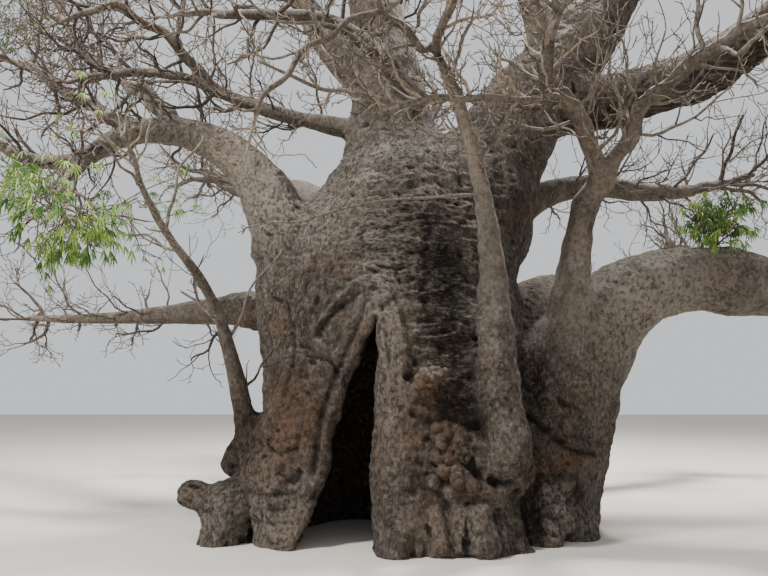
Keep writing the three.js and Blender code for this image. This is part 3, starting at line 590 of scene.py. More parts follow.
def body_blocks():
    """The blocks of grid cells that the bark may pass through, and for every limb those that it may reach,
    with the number of its step nearest to each block's middle."""
    edges = [line[::BLOCK] for line in LINES]
    number = np.meshgrid(*[np.arange(len(e) - 1) for e in edges], indexing="ij")
    number = np.stack(number, -1).reshape(-1, 3)
    middle = np.stack([(edges[a][:-1] + edges[a][1:])[number[:, a]] / 2 for a in range(3)], 1)
    half = np.linalg.norm([np.diff(edges[a])[number[:, a]] / 2 for a in range(3)], axis=0)
    x, y, z = middle.T
    gap = trunk_distance(x, y, z)
    reaches = {}
    for name, limb in stout_limbs.items():
        inside = limb.beside(middle, 1.2 * half.max() + fillet(limb) + LIMB_MARGIN)
        px, py, pz = middle[inside].T
        best = np.full(len(inside), FAR)
        step = np.zeros(len(inside), int)
        for i in range(limb.stout):
            d = rounded(limb.points[i], limb.points[i + 1], limb.thick[i], limb.thick[i + 1], px, py, pz)[0]
            step[d < best] = i
            best = np.minimum(best, d)
        gap[inside] = join(gap[inside], best, fillet(limb))
        close = best < half[inside] + fillet(limb) + LIMB_MARGIN
        reaches[name] = (inside[close], step[close])
    for bars, sign in ((LOBES, 1), (CLEFTS, -1)):
        for a, b, radius_a, radius_b, soft in bars:
            d = rounded(np.array(a), np.array(b), radius_a, radius_b, x, y, z)[0]
            gap = sign * join(sign * gap, d, soft)
    gap = cut(gap, doorway_distance(x, y, z), DOOR_RIM)
    kept = np.nonzero(np.abs(gap) < 1.5 * half + 0.07)[0]
    place = np.full(len(number), -1)
    place[kept] = np.arange(len(kept))
    for name, (inside, step) in reaches.items():
        used = place[inside] >= 0
        reaches[name] = (place[inside[used]], step[used])
    return number[kept], reaches


def body_distances(number, reaches):
    """The distance from the bark at every grid point of the blocks: trunk, lobes and limbs joined one after
    the other, then the clefts and the doorway cut out."""
    side = BLOCK + 1
    spot = [LINES[a][number[:, a, None] * BLOCK + np.arange(side)].astype(np.float32) for a in range(3)]
    shape = ((-1, side, 1, 1), (-1, 1, side, 1), (-1, 1, 1, side))

    def points(rows):
        return [spot[a][rows].reshape(shape[a]) for a in range(3)]

    gap = np.full((len(number), side, side, side), FAR, np.float32)
    middle = np.stack([s[:, BLOCK // 2] for s in spot])
    wide = np.max([s[:, BLOCK] - s[:, 0] for s in spot], 0)
    by_trunk = np.nonzero(trunk_distance(*middle) < wide + 0.5)[0]
    for rows in np.array_split(by_trunk, max(1, len(by_trunk) // 400)):
        x, y, z = points(rows)
        gap[rows] = trunk_distance(x, y, z + 0 * x)
    for name, limb in stout_limbs.items():
        blocks, step = reaches[name]
        own = np.full((len(blocks), side, side, side), FAR, np.float32)
        window = 4 + int(0.35 * limb.steps / limb.long)
        for i in range(limb.stout):
            rows = np.nonzero(np.abs(step - i) <= window)[0]
            if len(rows):
                x, y, z = points(blocks[rows])
                ends = limb.points[i : i + 2].astype(np.float32)
                d = rounded(ends[0], ends[1], limb.thick[i], limb.thick[i + 1], x, y, z)[0]
                own[rows] = np.minimum(own[rows], d)
        gap[blocks] = join(gap[blocks], own, fillet(limb))
    for bars, sign in ((LOBES, 1), (CLEFTS, -1)):
        for a, b, radius_a, radius_b, soft in bars:
            a, b = np.array(a, np.float32), np.array(b, np.float32)
            rows = np.nonzero(rounded(a, b, radius_a, radius_b, *middle)[0] < wide + soft)[0]
            x, y, z = points(rows)
            d = rounded(a, b, radius_a, radius_b, x, y, z)[0]
            gap[rows] = sign * join(sign * gap[rows], d, soft)
    rows = np.nonzero(doorway_distance(*middle) < wide + 0.3)[0]
    x, y, z = points(rows)
    gap[rows] = cut(gap[rows], doorway_distance(x, y, z + 0 * x), DOOR_RIM)
    return gap


def skin(gap, number):
    """The surface where the distance is zero: in each grid cell with both signs one point, the mean of the
    crossings on its edges, and round each grid edge that crosses one four-sided face, turned outwards."""
    inside = gap < 0
    corners = [(i, j, k) for i in (0, 1) for j in (0, 1) for k in (0, 1)]
    one, two = slice(0, BLOCK), slice(1, BLOCK + 1)
    full = [inside[(slice(None), *((one, two)[c] for c in corner))].astype(np.int8) for corner in corners]
    full = sum(full)
    cell = np.stack(np.nonzero((full > 0) & (full < len(corners))))
    value = [gap[cell[0], cell[1] + i, cell[2] + j, cell[3] + k] for i, j, k in corners]
    spot, hits = np.zeros((3, cell.shape[1])), np.zeros(cell.shape[1])
    for first, corner in enumerate(corners):
        for axis in range(3):
            if corner[axis] == 0:
                start, end = value[first], value[first + (4, 2, 1)[axis]]
                crosses = (start < 0) != (end < 0)
                part = np.where(crosses, start / np.where(crosses, start - end, 1), 0)
                for a in range(3):
                    spot[a] += crosses * (corner[a] + (part if a == axis else 0))
                hits += crosses
    at = number[cell[0]].T * BLOCK + cell[1:]
    places = [line[c] + s / hits * (line[c + 1] - line[c]) for line, c, s in zip(LINES, at, spot)]
    sizes = [len(line) for line in LINES]

    def code(i, j, k):
        return (i.astype(np.int64) * sizes[1] + j) * sizes[2] + k

    codes = code(*at)
    order = np.argsort(codes)
    codes, points = codes[order], np.stack(places, 1)[order]
    faces = []
    for axis in range(3):
        shift = [one] * 3
        shift[axis] = two
        start = inside[:, one, one, one]
        edge = np.stack(np.nonzero(start != inside[(slice(None), *shift)]))
        outward = start[tuple(edge)]
        at = number[edge[0]].T * BLOCK + edge[1:]
        ring = []
        for u, v in ((-1, -1), (0, -1), (0, 0), (-1, 0)):
            near = at.copy()
            near[(axis + 1) % 3] += u
            near[(axis + 2) % 3] += v
            ring.append(np.where((near >= 0).all(0), code(*near), -1))
        ring = np.stack(ring, 1)
        found = np.minimum(np.searchsorted(codes, ring), len(codes) - 1)
        whole = (codes[found] == ring).all(1)
        found, outward = found[whole], outward[whole]
        faces.append(np.where(outward[:, None], found, found[:, ::-1]))
    return points, np.concatenate(faces)


block_numbers, block_reaches = body_blocks()
bark_points, bark_faces = skin(body_distances(block_numbers, block_reaches), block_numbers)

# ---------------------------------------------------------------------------------------------------------
# The bark. A thick grey-brown skin, scaly and pitted on the trunk, wrinkled where limbs press together and
# smoother on the younger stems. It is one relief on the body, with worn, stained and torn places, shade
# painted dark into its crevices, folds and hollow, and sunlight painted paler on its tops and ridges.
# ---------------------------------------------------------------------------------------------------------

DICE = np.random.RandomState(11)
SHUFFLED = DICE.permutation(256)
SLOPES = DICE.normal(size=(256, 3))
SLOPES /= np.linalg.norm(SLOPES, axis=1)[:, None]


def noise(points):
    """Smooth noise from about -1 to 1: at each corner of the unit cell a slope of its own, blended over the
    cell by an eased weight."""
    cell = np.floor(points).astype(int)
    part = points - cell
    ease = part**3 * (part * (part * 6 - 15) + 10)
    total = 0
    for corner in np.ndindex(2, 2, 2):
        i, j, k = (cell + corner).T & 255
        slope = SLOPES[SHUFFLED[(SHUFFLED[(SHUFFLED[i] + j) & 255] + k) & 255]]
        weight = np.where(corner, ease, 1 - ease).prod(1)
        total = total + weight * ((part - corner) * slope).sum(1)
    return 1.7 * total


def cobbles(points):
    """How deep a point lies between rounded lumps: 0 on top of one, 1 in the seam to the next. It is the
    distance to the nearest of the jittered middles, against that to the second nearest."""
    cell = np.floor(points).astype(int)
    near = np.full((2, len(points)), FAR)
    for shift in np.ndindex(3, 3, 3):
        i, j, k = (cell + np.array(shift) - 1).T
        pick = SHUFFLED[(SHUFFLED[(SHUFFLED[i & 255] + j) & 255] + k) & 255]
        middle = np.stack([i, j, k], 1) + 0.5 + 0.45 * SLOPES[pick]
        d = np.linalg.norm(points - middle, axis=1)
        near[1] = np.minimum(near[1], np.maximum(near[0], d))
        near[0] = np.minimum(near[0], d)
    return np.clip(near[0] / near[1], 0, 1) ** 3


def fade(values, start, end):
    """A smooth step from 0 at the start to 1 at the end."""
    share = np.clip((values - start) / (end - start), 0, 1)
    return share * share * (3 - 2 * share)


def facing(points, faces):
    """The unit normal at each point: the sum of the crossed diagonals of its faces."""
    across = np.cross(points[faces[:, 2]] - points[faces[:, 0]], points[faces[:, 3]] - points[faces[:, 1]])
    total = [np.bincount(faces.ravel(), np.repeat(across[:, a], 4), len(points)) for a in range(3)]
    total = np.stack(total, 1)
    return total / np.maximum(np.linalg.norm(total, axis=1), 1e-12)[:, None]


def softened(values, faces, times):
    """Values at the points, each replaced, times over, by the mean of its neighbours along the edges."""
    one, two = faces.ravel(), np.roll(faces, -1, 1).ravel()
    count = np.bincount(one, minlength=len(values)) + np.bincount(two, minlength=len(values))
    for _ in range(times):
        rows = values.reshape(len(values), -1).T
        rows = [np.bincount(one, v[two], len(v)) + np.bincount(two, v[one], len(v)) for v in rows]
        values = (np.stack(rows, 1) / count[:, None]).reshape(values.shape)
    return values


def near_line(flat, path):
    """How far flat points lie from a broken line."""
    best = np.full(len(flat), FAR)
    path = np.array(path, float)
    for a, b in zip(path[:-1], path[1:]):
        best = np.minimum(best, line_gap(flat, a, b))
    return best


# how young and smooth a limb's skin is, where that doesn't follow from its thickness
SMOOTHNESS = {
    "front_stem": 0.85, "right_stem": 0.8, "left_thin_stem": 0.6, "left_bough": 0.65, "arch_bough": 0.6,
    "right_rear_bough": 0.35, "centre_stem": 0.35, "torn_bough": 0.1,
}
# over how many metres a limb's hold on the bark beside it falls off
OWN_FALL = 0.05


def bark_facts(points):
    """For every point of the bark: how strongly each limb owns it, which falls off with the distance to the
    limb, the limb's radius there, the run of the grain along it, and how smooth its skin is."""
    x, y, z = points.T
    weight = np.exp(-np.clip(trunk_distance(x, y, z), 0, 1) / OWN_FALL)
    total, size = weight.copy(), weight * 1.5
    smooth, run = 0 * weight, weight * np.sin(z * 2 * np.pi / 0.13 + 1.5 * noise(points * 2.0))
    shares = {}
    for name, limb in stout_limbs.items():
        rows = limb.beside(points, 0.3)
        best, share = np.full(len(rows), FAR), np.zeros(len(rows))
        for i in range(limb.stout):
            a, b = limb.points[i], limb.points[i + 1]
            d, part = rounded(a, b, limb.thick[i], limb.thick[i + 1], *points[rows].T)
            share = np.where(d < best, (i + part) / limb.steps, share)
            best = np.minimum(best, d)
        own = np.exp(-np.clip(best, 0, 1) / OWN_FALL)
        total[rows] += own
        thick = limb.radius(share)
        collar = BOUGHS[name][5] if name in BOUGHS else 0
        free = fade(share, 0.5 * collar, 1.4 * collar + 0.08)
        size[rows] += own * (thick * free + 0.7 * (1 - free))
        smooth[rows] += own * free * SMOOTHNESS.get(name, np.clip(1.1 - thick, 0.5, 0.9))
        wave = share * limb.long * 2 * np.pi / np.clip(0.35 * thick, 0.04, 0.11)
        run[rows] += own * np.sin(wave + 1.5 * noise(points[rows] * 3.0))
        shares[name] = (rows, own, share)
    return size / total, smooth / total, run / total, shares, total


def blobs(points, rows):
    """The sum of round patches, each with a middle, a reach along x, y and z, and a strength."""
    total = np.zeros(len(points))
    for middle, reach, strength in rows:
        total += strength * np.exp(-(((points - middle) / reach) ** 2).sum(1))
    return np.clip(total, 0, 1)


# the wet black stain under the fork, and painted shade in the deep folds and on the back wall of the hollow
STAINS_AND_SHADE = (
    ((0.32, -1.55, 2.6), (0.26, 0.6, 0.95), 1.0), ((0.25, -1.3, 3.7), (0.2, 0.6, 0.5), 0.6),
    ((1.32, -1.35, 1.8), (0.16, 0.4, 0.6), 1.0), ((1.15, -1.5, 0.35), (0.14, 0.4, 0.36), 1.0),
    ((0.45, -1.6, 1.5), (0.3, 0.5, 0.28), 1.0), ((-0.75, -0.7, 0.9), (0.62, 0.75, 1.6), 1.0),
    ((1.62, -1.1, 1.5), (0.3, 0.5, 0.5), 0.55), ((-2.0, -1.2, 1.2), (0.2, 0.5, 0.7), 0.6),
)
# bark that lies in level ropes, over the doorway and beside it
ROPY = (
    ((-0.30, -1.4, 3.4), (0.60, 0.9, 0.75), 1.3), ((0.35, -1.5, 2.3), (0.40, 0.8, 1.1), 1.2),
    ((0.9, -0.9, 4.0), (0.5, 0.9, 0.6), 0.8),
)
# lumps like boiling on the burl, and painted shade in the clefts beside it, the darkest on the bark
BURLY = (((1.46, -1.4, 0.35), (0.24, 0.4, 0.36), 1.0), ((1.6, -1.2, 1.2), (0.4, 0.5, 0.16), 0.4))
CLEFT_SHADE = (
    ((1.13, -1.6, 0.30), (0.12, 0.4, 0.34), 1.0), ((1.76, -1.3, 0.52), (0.17, 0.5, 0.13), 0.9),
    ((1.30, -1.5, 0.70), (0.14, 0.4, 0.08), 0.6),
)
# paler bark: partly dry bark that the light has bleached, and partly painted sunlight on the lit ridges,
# the burl and the column
PALE_AND_LIT = (
    ((0.75, -1.8, 2.2), (0.25, 0.4, 1.5), 0.3), ((0.3, -2.2, 4.8), (0.5, 0.5, 1.1), 0.45),
    ((2.1, -1.8, 4.6), (0.7, 0.6, 0.9), 0.35), ((-2.2, -0.5, 4.2), (1.2, 1.0, 0.7), 0.8),
    ((-4.0, -0.5, 4.6), (2.2, 1.6, 1.3), 0.8), ((-0.35, -1.5, 3.2), (0.35, 0.8, 0.9), 0.8),
    ((-1.0, -1.3, 3.9), (0.6, 0.7, 0.6), 0.45), ((1.44, -1.45, 0.38), (0.20, 0.4, 0.28), 1.6),
    ((1.86, -1.1, 0.15), (0.3, 0.4, 0.25), 0.6), ((3.2, -0.9, 3.0), (1.2, 0.8, 0.6), 0.5),
    ((0.4, -1.9, 0.25), (0.6, 0.4, 0.3), 0.45), ((-0.3, -1.6, 1.5), (0.22, 0.5, 1.3), 0.42),
    ((0.0, -1.0, 5.0), (0.7, 0.8, 0.8), 0.35), ((2.6, -0.9, 2.6), (1.0, 0.8, 0.8), 0.75),
    ((0.12, -2.0, 1.82), (0.10, 0.2, 0.07), 0.6), ((-1.55, -1.5, 0.3), (0.4, 0.4, 0.5), 0.75),
    ((-2.3, -1.3, 0.3), (0.6, 0.4, 0.5), 0.6), ((1.9, -0.9, 1.5), (0.5, 0.5, 1.2), 0.3),
)
# bare wood and worn places, orange-brown
WORN = (
    ((0.3, -2.2, 4.7), (0.5, 0.5, 0.9), 0.45), ((1.9, -1.8, 4.4), (0.6, 0.6, 0.8), 0.35),
    ((0.10, -2.0, 1.76), (0.14, 0.2, 0.12), 1.0), ((0.25, -1.9, 1.30), (0.35, 0.4, 0.25), 0.55),
    ((0.60, -1.9, 0.70), (0.22, 0.3, 0.16), 0.4), ((-1.40, -1.5, 1.30), (0.45, 0.5, 0.50), 0.8),
    ((-2.15, -1.0, 1.3), (0.25, 0.5, 0.4), 0.6), ((1.25, -1.5, 0.75), (0.4, 0.5, 0.3), 0.6),
    ((1.75, -1.2, 0.84), (0.3, 0.5, 0.20), 0.8), ((1.38, -1.5, 0.30), (0.14, 0.3, 0.14), 0.5),
    ((-0.45, -1.7, 1.0), (0.1, 0.4, 0.5), 0.35), ((-1.62, -1.5, 0.7), (0.3, 0.4, 0.4), 0.35),
    ((-0.2, -1.7, 1.5), (0.25, 0.5, 0.8), 0.4),
)

size, smooth, run, shares, owned = bark_facts(bark_points)
outwards = facing(bark_points, bark_faces)
x, y, z = bark_points.T
drift = np.stack([noise(bark_points * 1.3 + offset) for offset in (0, 31, 67)], 1)
bent = bark_points + 0.13 * drift
bulk = np.clip(size / 0.5, 0.1, 1)
front = fade(-y, 0.4, 1.0)
rough = 1 - smooth

# the bare underside of the torn bough, where the wood has split off in steps
rows, own, share = shares["torn_bough"]
torn = np.zeros(len(bark_points))
torn[rows] = np.clip(own / owned[rows], 0, 1) * fade(share, 0.05, 0.2)
torn *= fade(-outwards[:, 2] + 0.35 * noise(bark_points * (1.2, 2, 2)), 0.0, 0.3)
splits = noise(bark_points * (1.1, 3.5, 3.5) + 17) * 3
splits = (np.floor(splits) + fade(splits % 1, 0.35, 0.65)) / 3

# folds that press together in some places, and lumps between shallow seams
fold = noise(bent * (3.0, 3.0, 2.2) + 5)
folded = fade(noise(bark_points * 0.9 + 9), 0.0, 0.5)
crease = np.exp(-((fold / 0.07) ** 2)) * folded * (0.3 + 0.7 * rough)
seam = cobbles(bent * (7.5, 7.5, 6.0))
pit = fade(noise(bark_points * 7 + 41), 0.56, 0.74)
knobby = front * np.exp(-(((x - 0.34) / 0.30) ** 4) - (((z - 1.04) / 0.26) ** 4))
knob_seam = cobbles(bark_points * 11.5)
craggy = noise(bent * (9, 9, 8)) + 0.6 * noise(bent * (19, 19, 15)) + 0.35 * noise(bark_points * 31)

relief = 0.05 * noise(bark_points * 1.1) * bulk + 0.030 * noise(bent * 2.7) * bulk
relief += 0.016 * noise(bent * (5.2, 5.2, 4.4) + 23) * bulk
relief -= 0.014 * crease * bulk
relief -= 0.005 * seam * rough * bulk
relief += 0.015 * craggy * (0.2 + 0.8 * rough) * bulk
relief -= 0.020 * pit * (0.3 + 0.7 * rough) * bulk
relief += 0.006 * run * fade(noise(bark_points * 1.4 + 3), 0.0, 0.5) * bulk
ropy = blobs(bark_points, ROPY)
rope = noise(bent * (1.7, 1.7, 7.5) + 61)
relief += 0.042 * (np.exp(-((rope / 0.16) ** 2)) - 0.3) * ropy
relief += 0.016 * noise(bent * (3.5, 3.5, 17) + 71) * ropy
relief += 0.022 * noise(bark_points * 5.5 + 77) * fade(size, 0.32, 0.14) * fade(x, 1.2, 1.5)
relief += knobby * (0.012 - 0.032 * knob_seam)
relief += torn * (0.09 * splits + 0.02 * noise(bark_points * (3, 14, 14)))
burly = blobs(bark_points, BURLY)
relief += (0.055 * noise(bark_points * 6.5 + 13) + 0.018 * noise(bark_points * 16 + 29)) * burly
stub = np.exp(-(((bark_points - (0.12, -2.02, 1.78)) / 0.15) ** 2).sum(1))
relief += stub * 0.045 * (noise(bark_points * 15) + 0.6 * noise(bark_points * 31))

# ridges and grooves on the front, as a path of x and z, a width and a height
STROKES = (
    # the pleat over the doorway: its outer roll, the hollow band under it, and the lips beside the opening
    (((-1.18, 2.42), (-1.05, 2.60), (-0.90, 2.76), (-0.74, 2.88), (-0.55, 2.94), (-0.30, 2.92),
      (-0.10, 2.94)), 0.032, 0.042),
    (((-1.20, 2.30), (-1.02, 2.52), (-0.84, 2.67), (-0.66, 2.77), (-0.50, 2.80)), 0.045, -0.030),
    (((-0.44, 2.84), (-0.33, 2.66), (-0.22, 2.42), (-0.16, 2.10)), 0.035, 0.040),
    (((-0.60, 2.70), (-0.72, 2.34), (-0.88, 1.95), (-1.02, 1.60), (-1.12, 1.20), (-1.17, 0.80)),
     0.045, -0.038),
    (((-0.62, 2.46), (-0.78, 2.06), (-0.92, 1.70), (-1.02, 1.30), (-1.08, 0.90)), 0.040, 0.022),
    (((-0.44, 2.60), (-0.38, 2.36), (-0.34, 1.90)), 0.025, -0.022),
    # ropes on the ridge above it
    (((-0.42, 3.52), (-0.20, 3.46), (0.02, 3.42)), 0.028, 0.040),
    (((-0.30, 3.36), (-0.12, 3.34), (0.08, 3.36)), 0.026, 0.038),
    (((-0.75, 3.72), (-0.45, 3.62), (-0.28, 3.64)), 0.028, 0.034),
    (((-0.58, 3.24), (-0.36, 3.20), (-0.12, 3.22), (0.04, 3.17)), 0.024, 0.030),
    (((-0.66, 3.44), (-0.50, 3.36), (-0.36, 3.34)), 0.024, 0.028),
    (((-0.48, 3.08), (-0.28, 3.05), (-0.08, 3.08)), 0.022, -0.028),
    # the steps on the left lobe, and the edge of the stained band right of the ridge
    (((-1.30, 2.06), (-1.05, 2.00), (-0.92, 1.86)), 0.025, -0.035),
    (((-1.86, 0.56), (-1.60, 0.52), (-1.34, 0.57)), 0.022, -0.022),
    (((-1.84, 0.40), (-1.60, 0.37), (-1.32, 0.41)), 0.020, -0.014),
    (((-1.82, 0.26), (-1.58, 0.24), (-1.32, 0.27)), 0.020, -0.014),
    (((-1.66, 1.02), (-1.52, 0.96), (-1.36, 1.02), (-1.32, 1.16)), 0.025, -0.028),
    (((-1.62, 2.75), (-1.50, 2.40), (-1.46, 2.00), (-1.52, 1.60)), 0.035, -0.030),
    (((-1.25, 3.20), (-1.18, 2.85), (-1.28, 2.50)), 0.030, -0.022),
    (((0.08, 3.95), (0.16, 3.60), (0.06, 3.30), (0.12, 3.00), (0.03, 2.75), (0.12, 2.45)), 0.045, -0.014),
    (((-0.02, 3.80), (0.04, 3.40), (-0.06, 3.00), (0.00, 2.60)), 0.045, 0.024),
    (((0.25, 2.42), (0.40, 2.45), (0.56, 2.41)), 0.030, -0.025),
    (((0.25, 2.95), (0.40, 2.89), (0.58, 2.92)), 0.030, -0.025),
    (((-0.10, 1.42), (0.02, 1.32), (0.18, 1.33)), 0.035, -0.030),
    # the slanting ridge over the burl, with a groove under it
    (((1.22, 1.49), (1.49, 1.26), (1.67, 1.12), (1.85, 1.05), (2.08, 1.00)), 0.040, 0.055),
    (((1.24, 1.38), (1.50, 1.16), (1.68, 1.02), (1.86, 0.95), (2.05, 0.90)), 0.035, -0.030),
    # the fold under the front stem's swelling
    (((0.40, 0.95), (0.55, 0.84), (0.70, 0.74), (0.87, 0.67), (1.00, 0.73), (1.12, 0.84)), 0.032, -0.032),
)
bend = 0.03 * drift[:, :2] + 0.012 * noise(bark_points * 6)[:, None]
for path, wide, high in STROKES:
    away = near_line(bark_points[:, (0, 2)] + bend, path)
    mark = np.exp(-((away / wide) ** 2)) * front
    relief += high * mark
    # the grooves are darkened too, as painted shade
    crease = np.maximum(crease, mark * (high < 0))

bark_points = bark_points + outwards * relief[:, None]
bark_points[:, 2] = np.maximum(bark_points[:, 2], 0)
outwards = facing(bark_points, bark_faces)
sunk = ((softened(bark_points, bark_faces, 14) - bark_points) * outwards).sum(1)
# painted shade: darker in creases, seams and pits, where the bark lies sunk below its softened neighbours,
# and in the clefts by the burl
painted_hollow_shade = 0.35 * crease + 0.15 * seam * rough + 0.7 * pit * (0.3 + 0.7 * rough)
painted_hollow_shade = painted_hollow_shade + sunk / (0.035 + 0.05 * burly)
painted_hollow_shade = np.clip(painted_hollow_shade + blobs(bark_points, CLEFT_SHADE), 0, 1)


class Wire:
    """One socket's value in a material, for sums written as Python sums: each adds its Math node."""

    def __init__(self, paint, socket):
        self.paint, self.socket = paint, socket

    def math(self, operation, *others):
        return self.paint.node("ShaderNodeMath", {"operation": operation}, dict(enumerate(others)))

    def __add__(self, other):
        return self.math("ADD", self, other)

    def __sub__(self, other):
        return self.math("SUBTRACT", self, other)

    def __rsub__(self, other):
        return self.math("SUBTRACT", other, self)

    def __mul__(self, other):
        return self.math("MULTIPLY", self, other)

    __radd__, __rmul__ = __add__, __mul__


class Paint:
    """A material made of nodes, ending in one Principled surface."""

    def __init__(self, name, **surface):
        self.material = bpy.data.materials.new(name)
        self.material.use_nodes = True
        self.tree = self.material.node_tree
        self.surface = self.tree.nodes["Principled BSDF"]
        for socket, value in surface.items():
            self.surface.inputs[socket.replace("_", " ")].default_value = value

    def node(self, kind, settings, sockets, output=0):
        """A node of a kind: its settings are set first, then each socket gets its value or its wire."""
        made = self.tree.nodes.new(kind)
        for key, value in settings.items():
            setattr(made, key, value)
        for key, value in sockets.items():
            if isinstance(value, Wire):
                self.tree.links.new(value.socket, made.inputs[key])
            else:
                made.inputs[key].default_value = value
        return Wire(self, made.outputs[output])

    def fact(self, name):
        """A number that the mesh carries at each point."""
        return self.node("ShaderNodeAttribute", {"attribute_name": name}, {}, "Fac")

    def place(self):
        """Where a point of the surface lies, in metres."""
        return self.node("ShaderNodeTexCoord", {}, {}, "Object")

    def stretched(self, at, times):
        """A place with its three parts multiplied."""
        return self.node("ShaderNodeVectorMath", {"operation": "MULTIPLY"}, {0: at, 1: times})

    def clouds(self, at, scale, detail, roughness=0.55):
        """Noise from 0 to 1 in the material."""
        sockets = {"Vector": at, "Scale": scale, "Detail": detail, "Roughness": roughness}
        return self.node("ShaderNodeTexNoise", {}, sockets)

    def step(self, value, start, end):
        """Brings a value from one range to 0 to 1, smoothly, and stops it there."""
        sockets = {"Value": value, "From Min": start, "From Max": end}
        return self.node("ShaderNodeMapRange", {"interpolation_type": "SMOOTHSTEP"}, sockets)

    def mix(self, a, b, share):
        """A colour between two, by a share."""
        a, b = [c if isinstance(c, Wire) else (*c, 1) for c in (a, b)]
        return self.node("ShaderNodeMix", {"data_type": "RGBA"}, {0: share, 6: a, 7: b}, 2)

    def blend(self, a, b, share):
        """A value between two, by a share."""
        return a + (b - a) * share

    def scaled(self, colour, times):
        """A colour made darker or lighter."""
        return self.node("ShaderNodeVectorMath", {"operation": "SCALE"}, {0: colour, "Scale": times})

    def finish(self, colour, roughness, height, distance):
        """Leads the colour, the roughness and a bump of the given depth to the surface."""
        bump = self.node("ShaderNodeBump", {}, {"Height": height, "Distance": distance, "Strength": 1.0})
        for wire, socket in ((colour, "Base Color"), (roughness, "Roughness"), (bump, "Normal")):
            self.tree.links.new(wire.socket, self.surface.inputs[socket])
        return self.material


def bark_material():
    """Bark: brown-grey scales with light flakes between crevices painted dark as shade, in level ropes
    where it is folded and upright scales elsewhere, near black where the stain lies and where shade is
    painted in folds, pits and the hollow, mottled and even on young stems, split dark wood, and a paler
    top side and paler patches that are partly bleached bark and partly painted sunlight."""
    paint = Paint("bark", Specular_IOR_Level=0.2)
    at = paint.place()
    level, upright = paint.stretched(at, (0.9, 0.9, 1.7)), paint.stretched(at, (1.15, 1.15, 0.85))
    young, ropy, painted_hollow_shade = paint.fact("young"), paint.fact("ropy"), paint.fact("painted_hollow_shade")
    stain_and_shade, rusty, pale = paint.fact("stain_and_shade"), paint.fact("rusty"), paint.fact("pale")
    wide, middling = paint.clouds(at, 1.7, 5), paint.clouds(at, 5.0, 7, 0.66)
    craggy = paint.clouds(upright, 9.0, 10, 0.68)
    grain = paint.blend(paint.clouds(upright, 21.0, 8, 0.72), paint.clouds(level, 19.0, 8, 0.72), ropy)
    veins = paint.blend(paint.clouds(upright, 8.0, 7, 0.62), paint.clouds(level, 7.0, 7, 0.62), ropy)
    veins = (veins - 0.5).math("ABSOLUTE")
    shaded_clefts = (1 - paint.step(veins, 0.004, 0.040)) * paint.step(middling, 0.68, 0.46)
    old = paint.mix((0.088, 0.069, 0.055), (0.180, 0.149, 0.121), paint.step(middling, 0.36, 0.64))
    old = paint.mix(old, (0.205, 0.132, 0.086), paint.step(wide, 0.48, 0.66) * 0.6)
    old = paint.scaled(old, 0.52 - ropy * 0.24 + paint.step(grain, 0.36, 0.62) * (0.68 + ropy * 0.20))
    flakes = paint.step(grain, 0.54, 0.62) * paint.step(craggy, 0.48, 0.56)
    old = paint.mix(old, (0.360, 0.315, 0.262), flakes * 0.75)
    skin_tone = paint.mix((0.122, 0.096, 0.076), (0.178, 0.147, 0.118), paint.step(middling, 0.38, 0.62))
    skin_tone = paint.mix(skin_tone, (0.200, 0.132, 0.084), paint.step(wide, 0.52, 0.66) * 0.5)
    skin_tone = paint.scaled(skin_tone, 0.72 + paint.step(grain, 0.38, 0.60) * 0.40)
    skin_tone = paint.mix(skin_tone, (0.330, 0.295, 0.250), paint.step(craggy, 0.53, 0.64) * 0.45)
    skin_tone = paint.mix(skin_tone, (0.045, 0.034, 0.027), paint.step(grain, 0.31, 0.28) * 0.6)
    colour = paint.mix(old, skin_tone, young)
    # painted shade: the crevice lines of the veins, near black
    colour = paint.mix(colour, (0.022, 0.017, 0.013), shaded_clefts * (0.95 - young * 0.8))
    # painted shade: the low places of the craggy bump, near black so that colour and bump agree
    colour = paint.mix(colour, (0.024, 0.018, 0.014), paint.step(craggy, 0.41, 0.34) * (0.6 - young * 0.6))
    colour = paint.mix(colour, (0.200, 0.105, 0.055), rusty * paint.step(grain, 0.38, 0.58))
    streaks = paint.clouds(paint.stretched(at, (1.2, 7.0, 7.0)), 2.0, 6, 0.6)
    split_wood = paint.mix((0.040, 0.028, 0.021), (0.150, 0.112, 0.082), paint.step(streaks, 0.42, 0.66))
    colour = paint.mix(colour, split_wood, paint.fact("torn") * 0.9)
    # paler bark, partly dry bleached bark and partly painted sunlight on the tops, ridges and burl
    pale_and_lit_spots = pale * paint.step(grain, 0.38 - young * 0.08, 0.58)
    colour = paint.mix(colour, (0.400, 0.352, 0.294), pale_and_lit_spots * 0.85)
    # near black for the stain under the fork, and painted shade in the deep folds and the hollow
    dark_stain_and_shade = stain_and_shade * (0.35 + 0.65 * paint.step(grain, 0.62, 0.42))
    colour = paint.mix(colour, (0.020, 0.016, 0.014), dark_stain_and_shade)
    # painted shade: near black in the crevices, creases, pits and sunken places
    colour = paint.mix(colour, (0.014, 0.011, 0.009), painted_hollow_shade * 0.85)
    shallow = 1 - young * 0.6
    height = (craggy * 1.4 + grain - shaded_clefts * 0.4) * shallow
    return paint.finish(colour, 0.95 - young * 0.15, height, 0.12)


# painted light: bark in front that faces up, above 1.2 m, is made paler as if lit from above
painted_top_light = fade(outwards[:, 2], 0.25, 0.85) * fade(z, 1.2, 2.5) * fade(-y, -1.2, 0.2)
# what each point carries: painted shade in hollows and crevices, the stain with painted shade in folds and
# the hollow, and paler bark with painted sunlight on its tops
facts = {
    "painted_hollow_shade": painted_hollow_shade, "young": np.clip(smooth, 0, 1), "stain_and_shade": blobs(bark_points, STAINS_AND_SHADE), "torn": torn,
    "rusty": np.clip(blobs(bark_points, WORN) - torn, 0, 1), "ropy": blobs(bark_points, ROPY),
    "pale": np.clip(painted_top_light + blobs(bark_points, PALE_AND_LIT), 0, 1),
}
bark = bark_material()


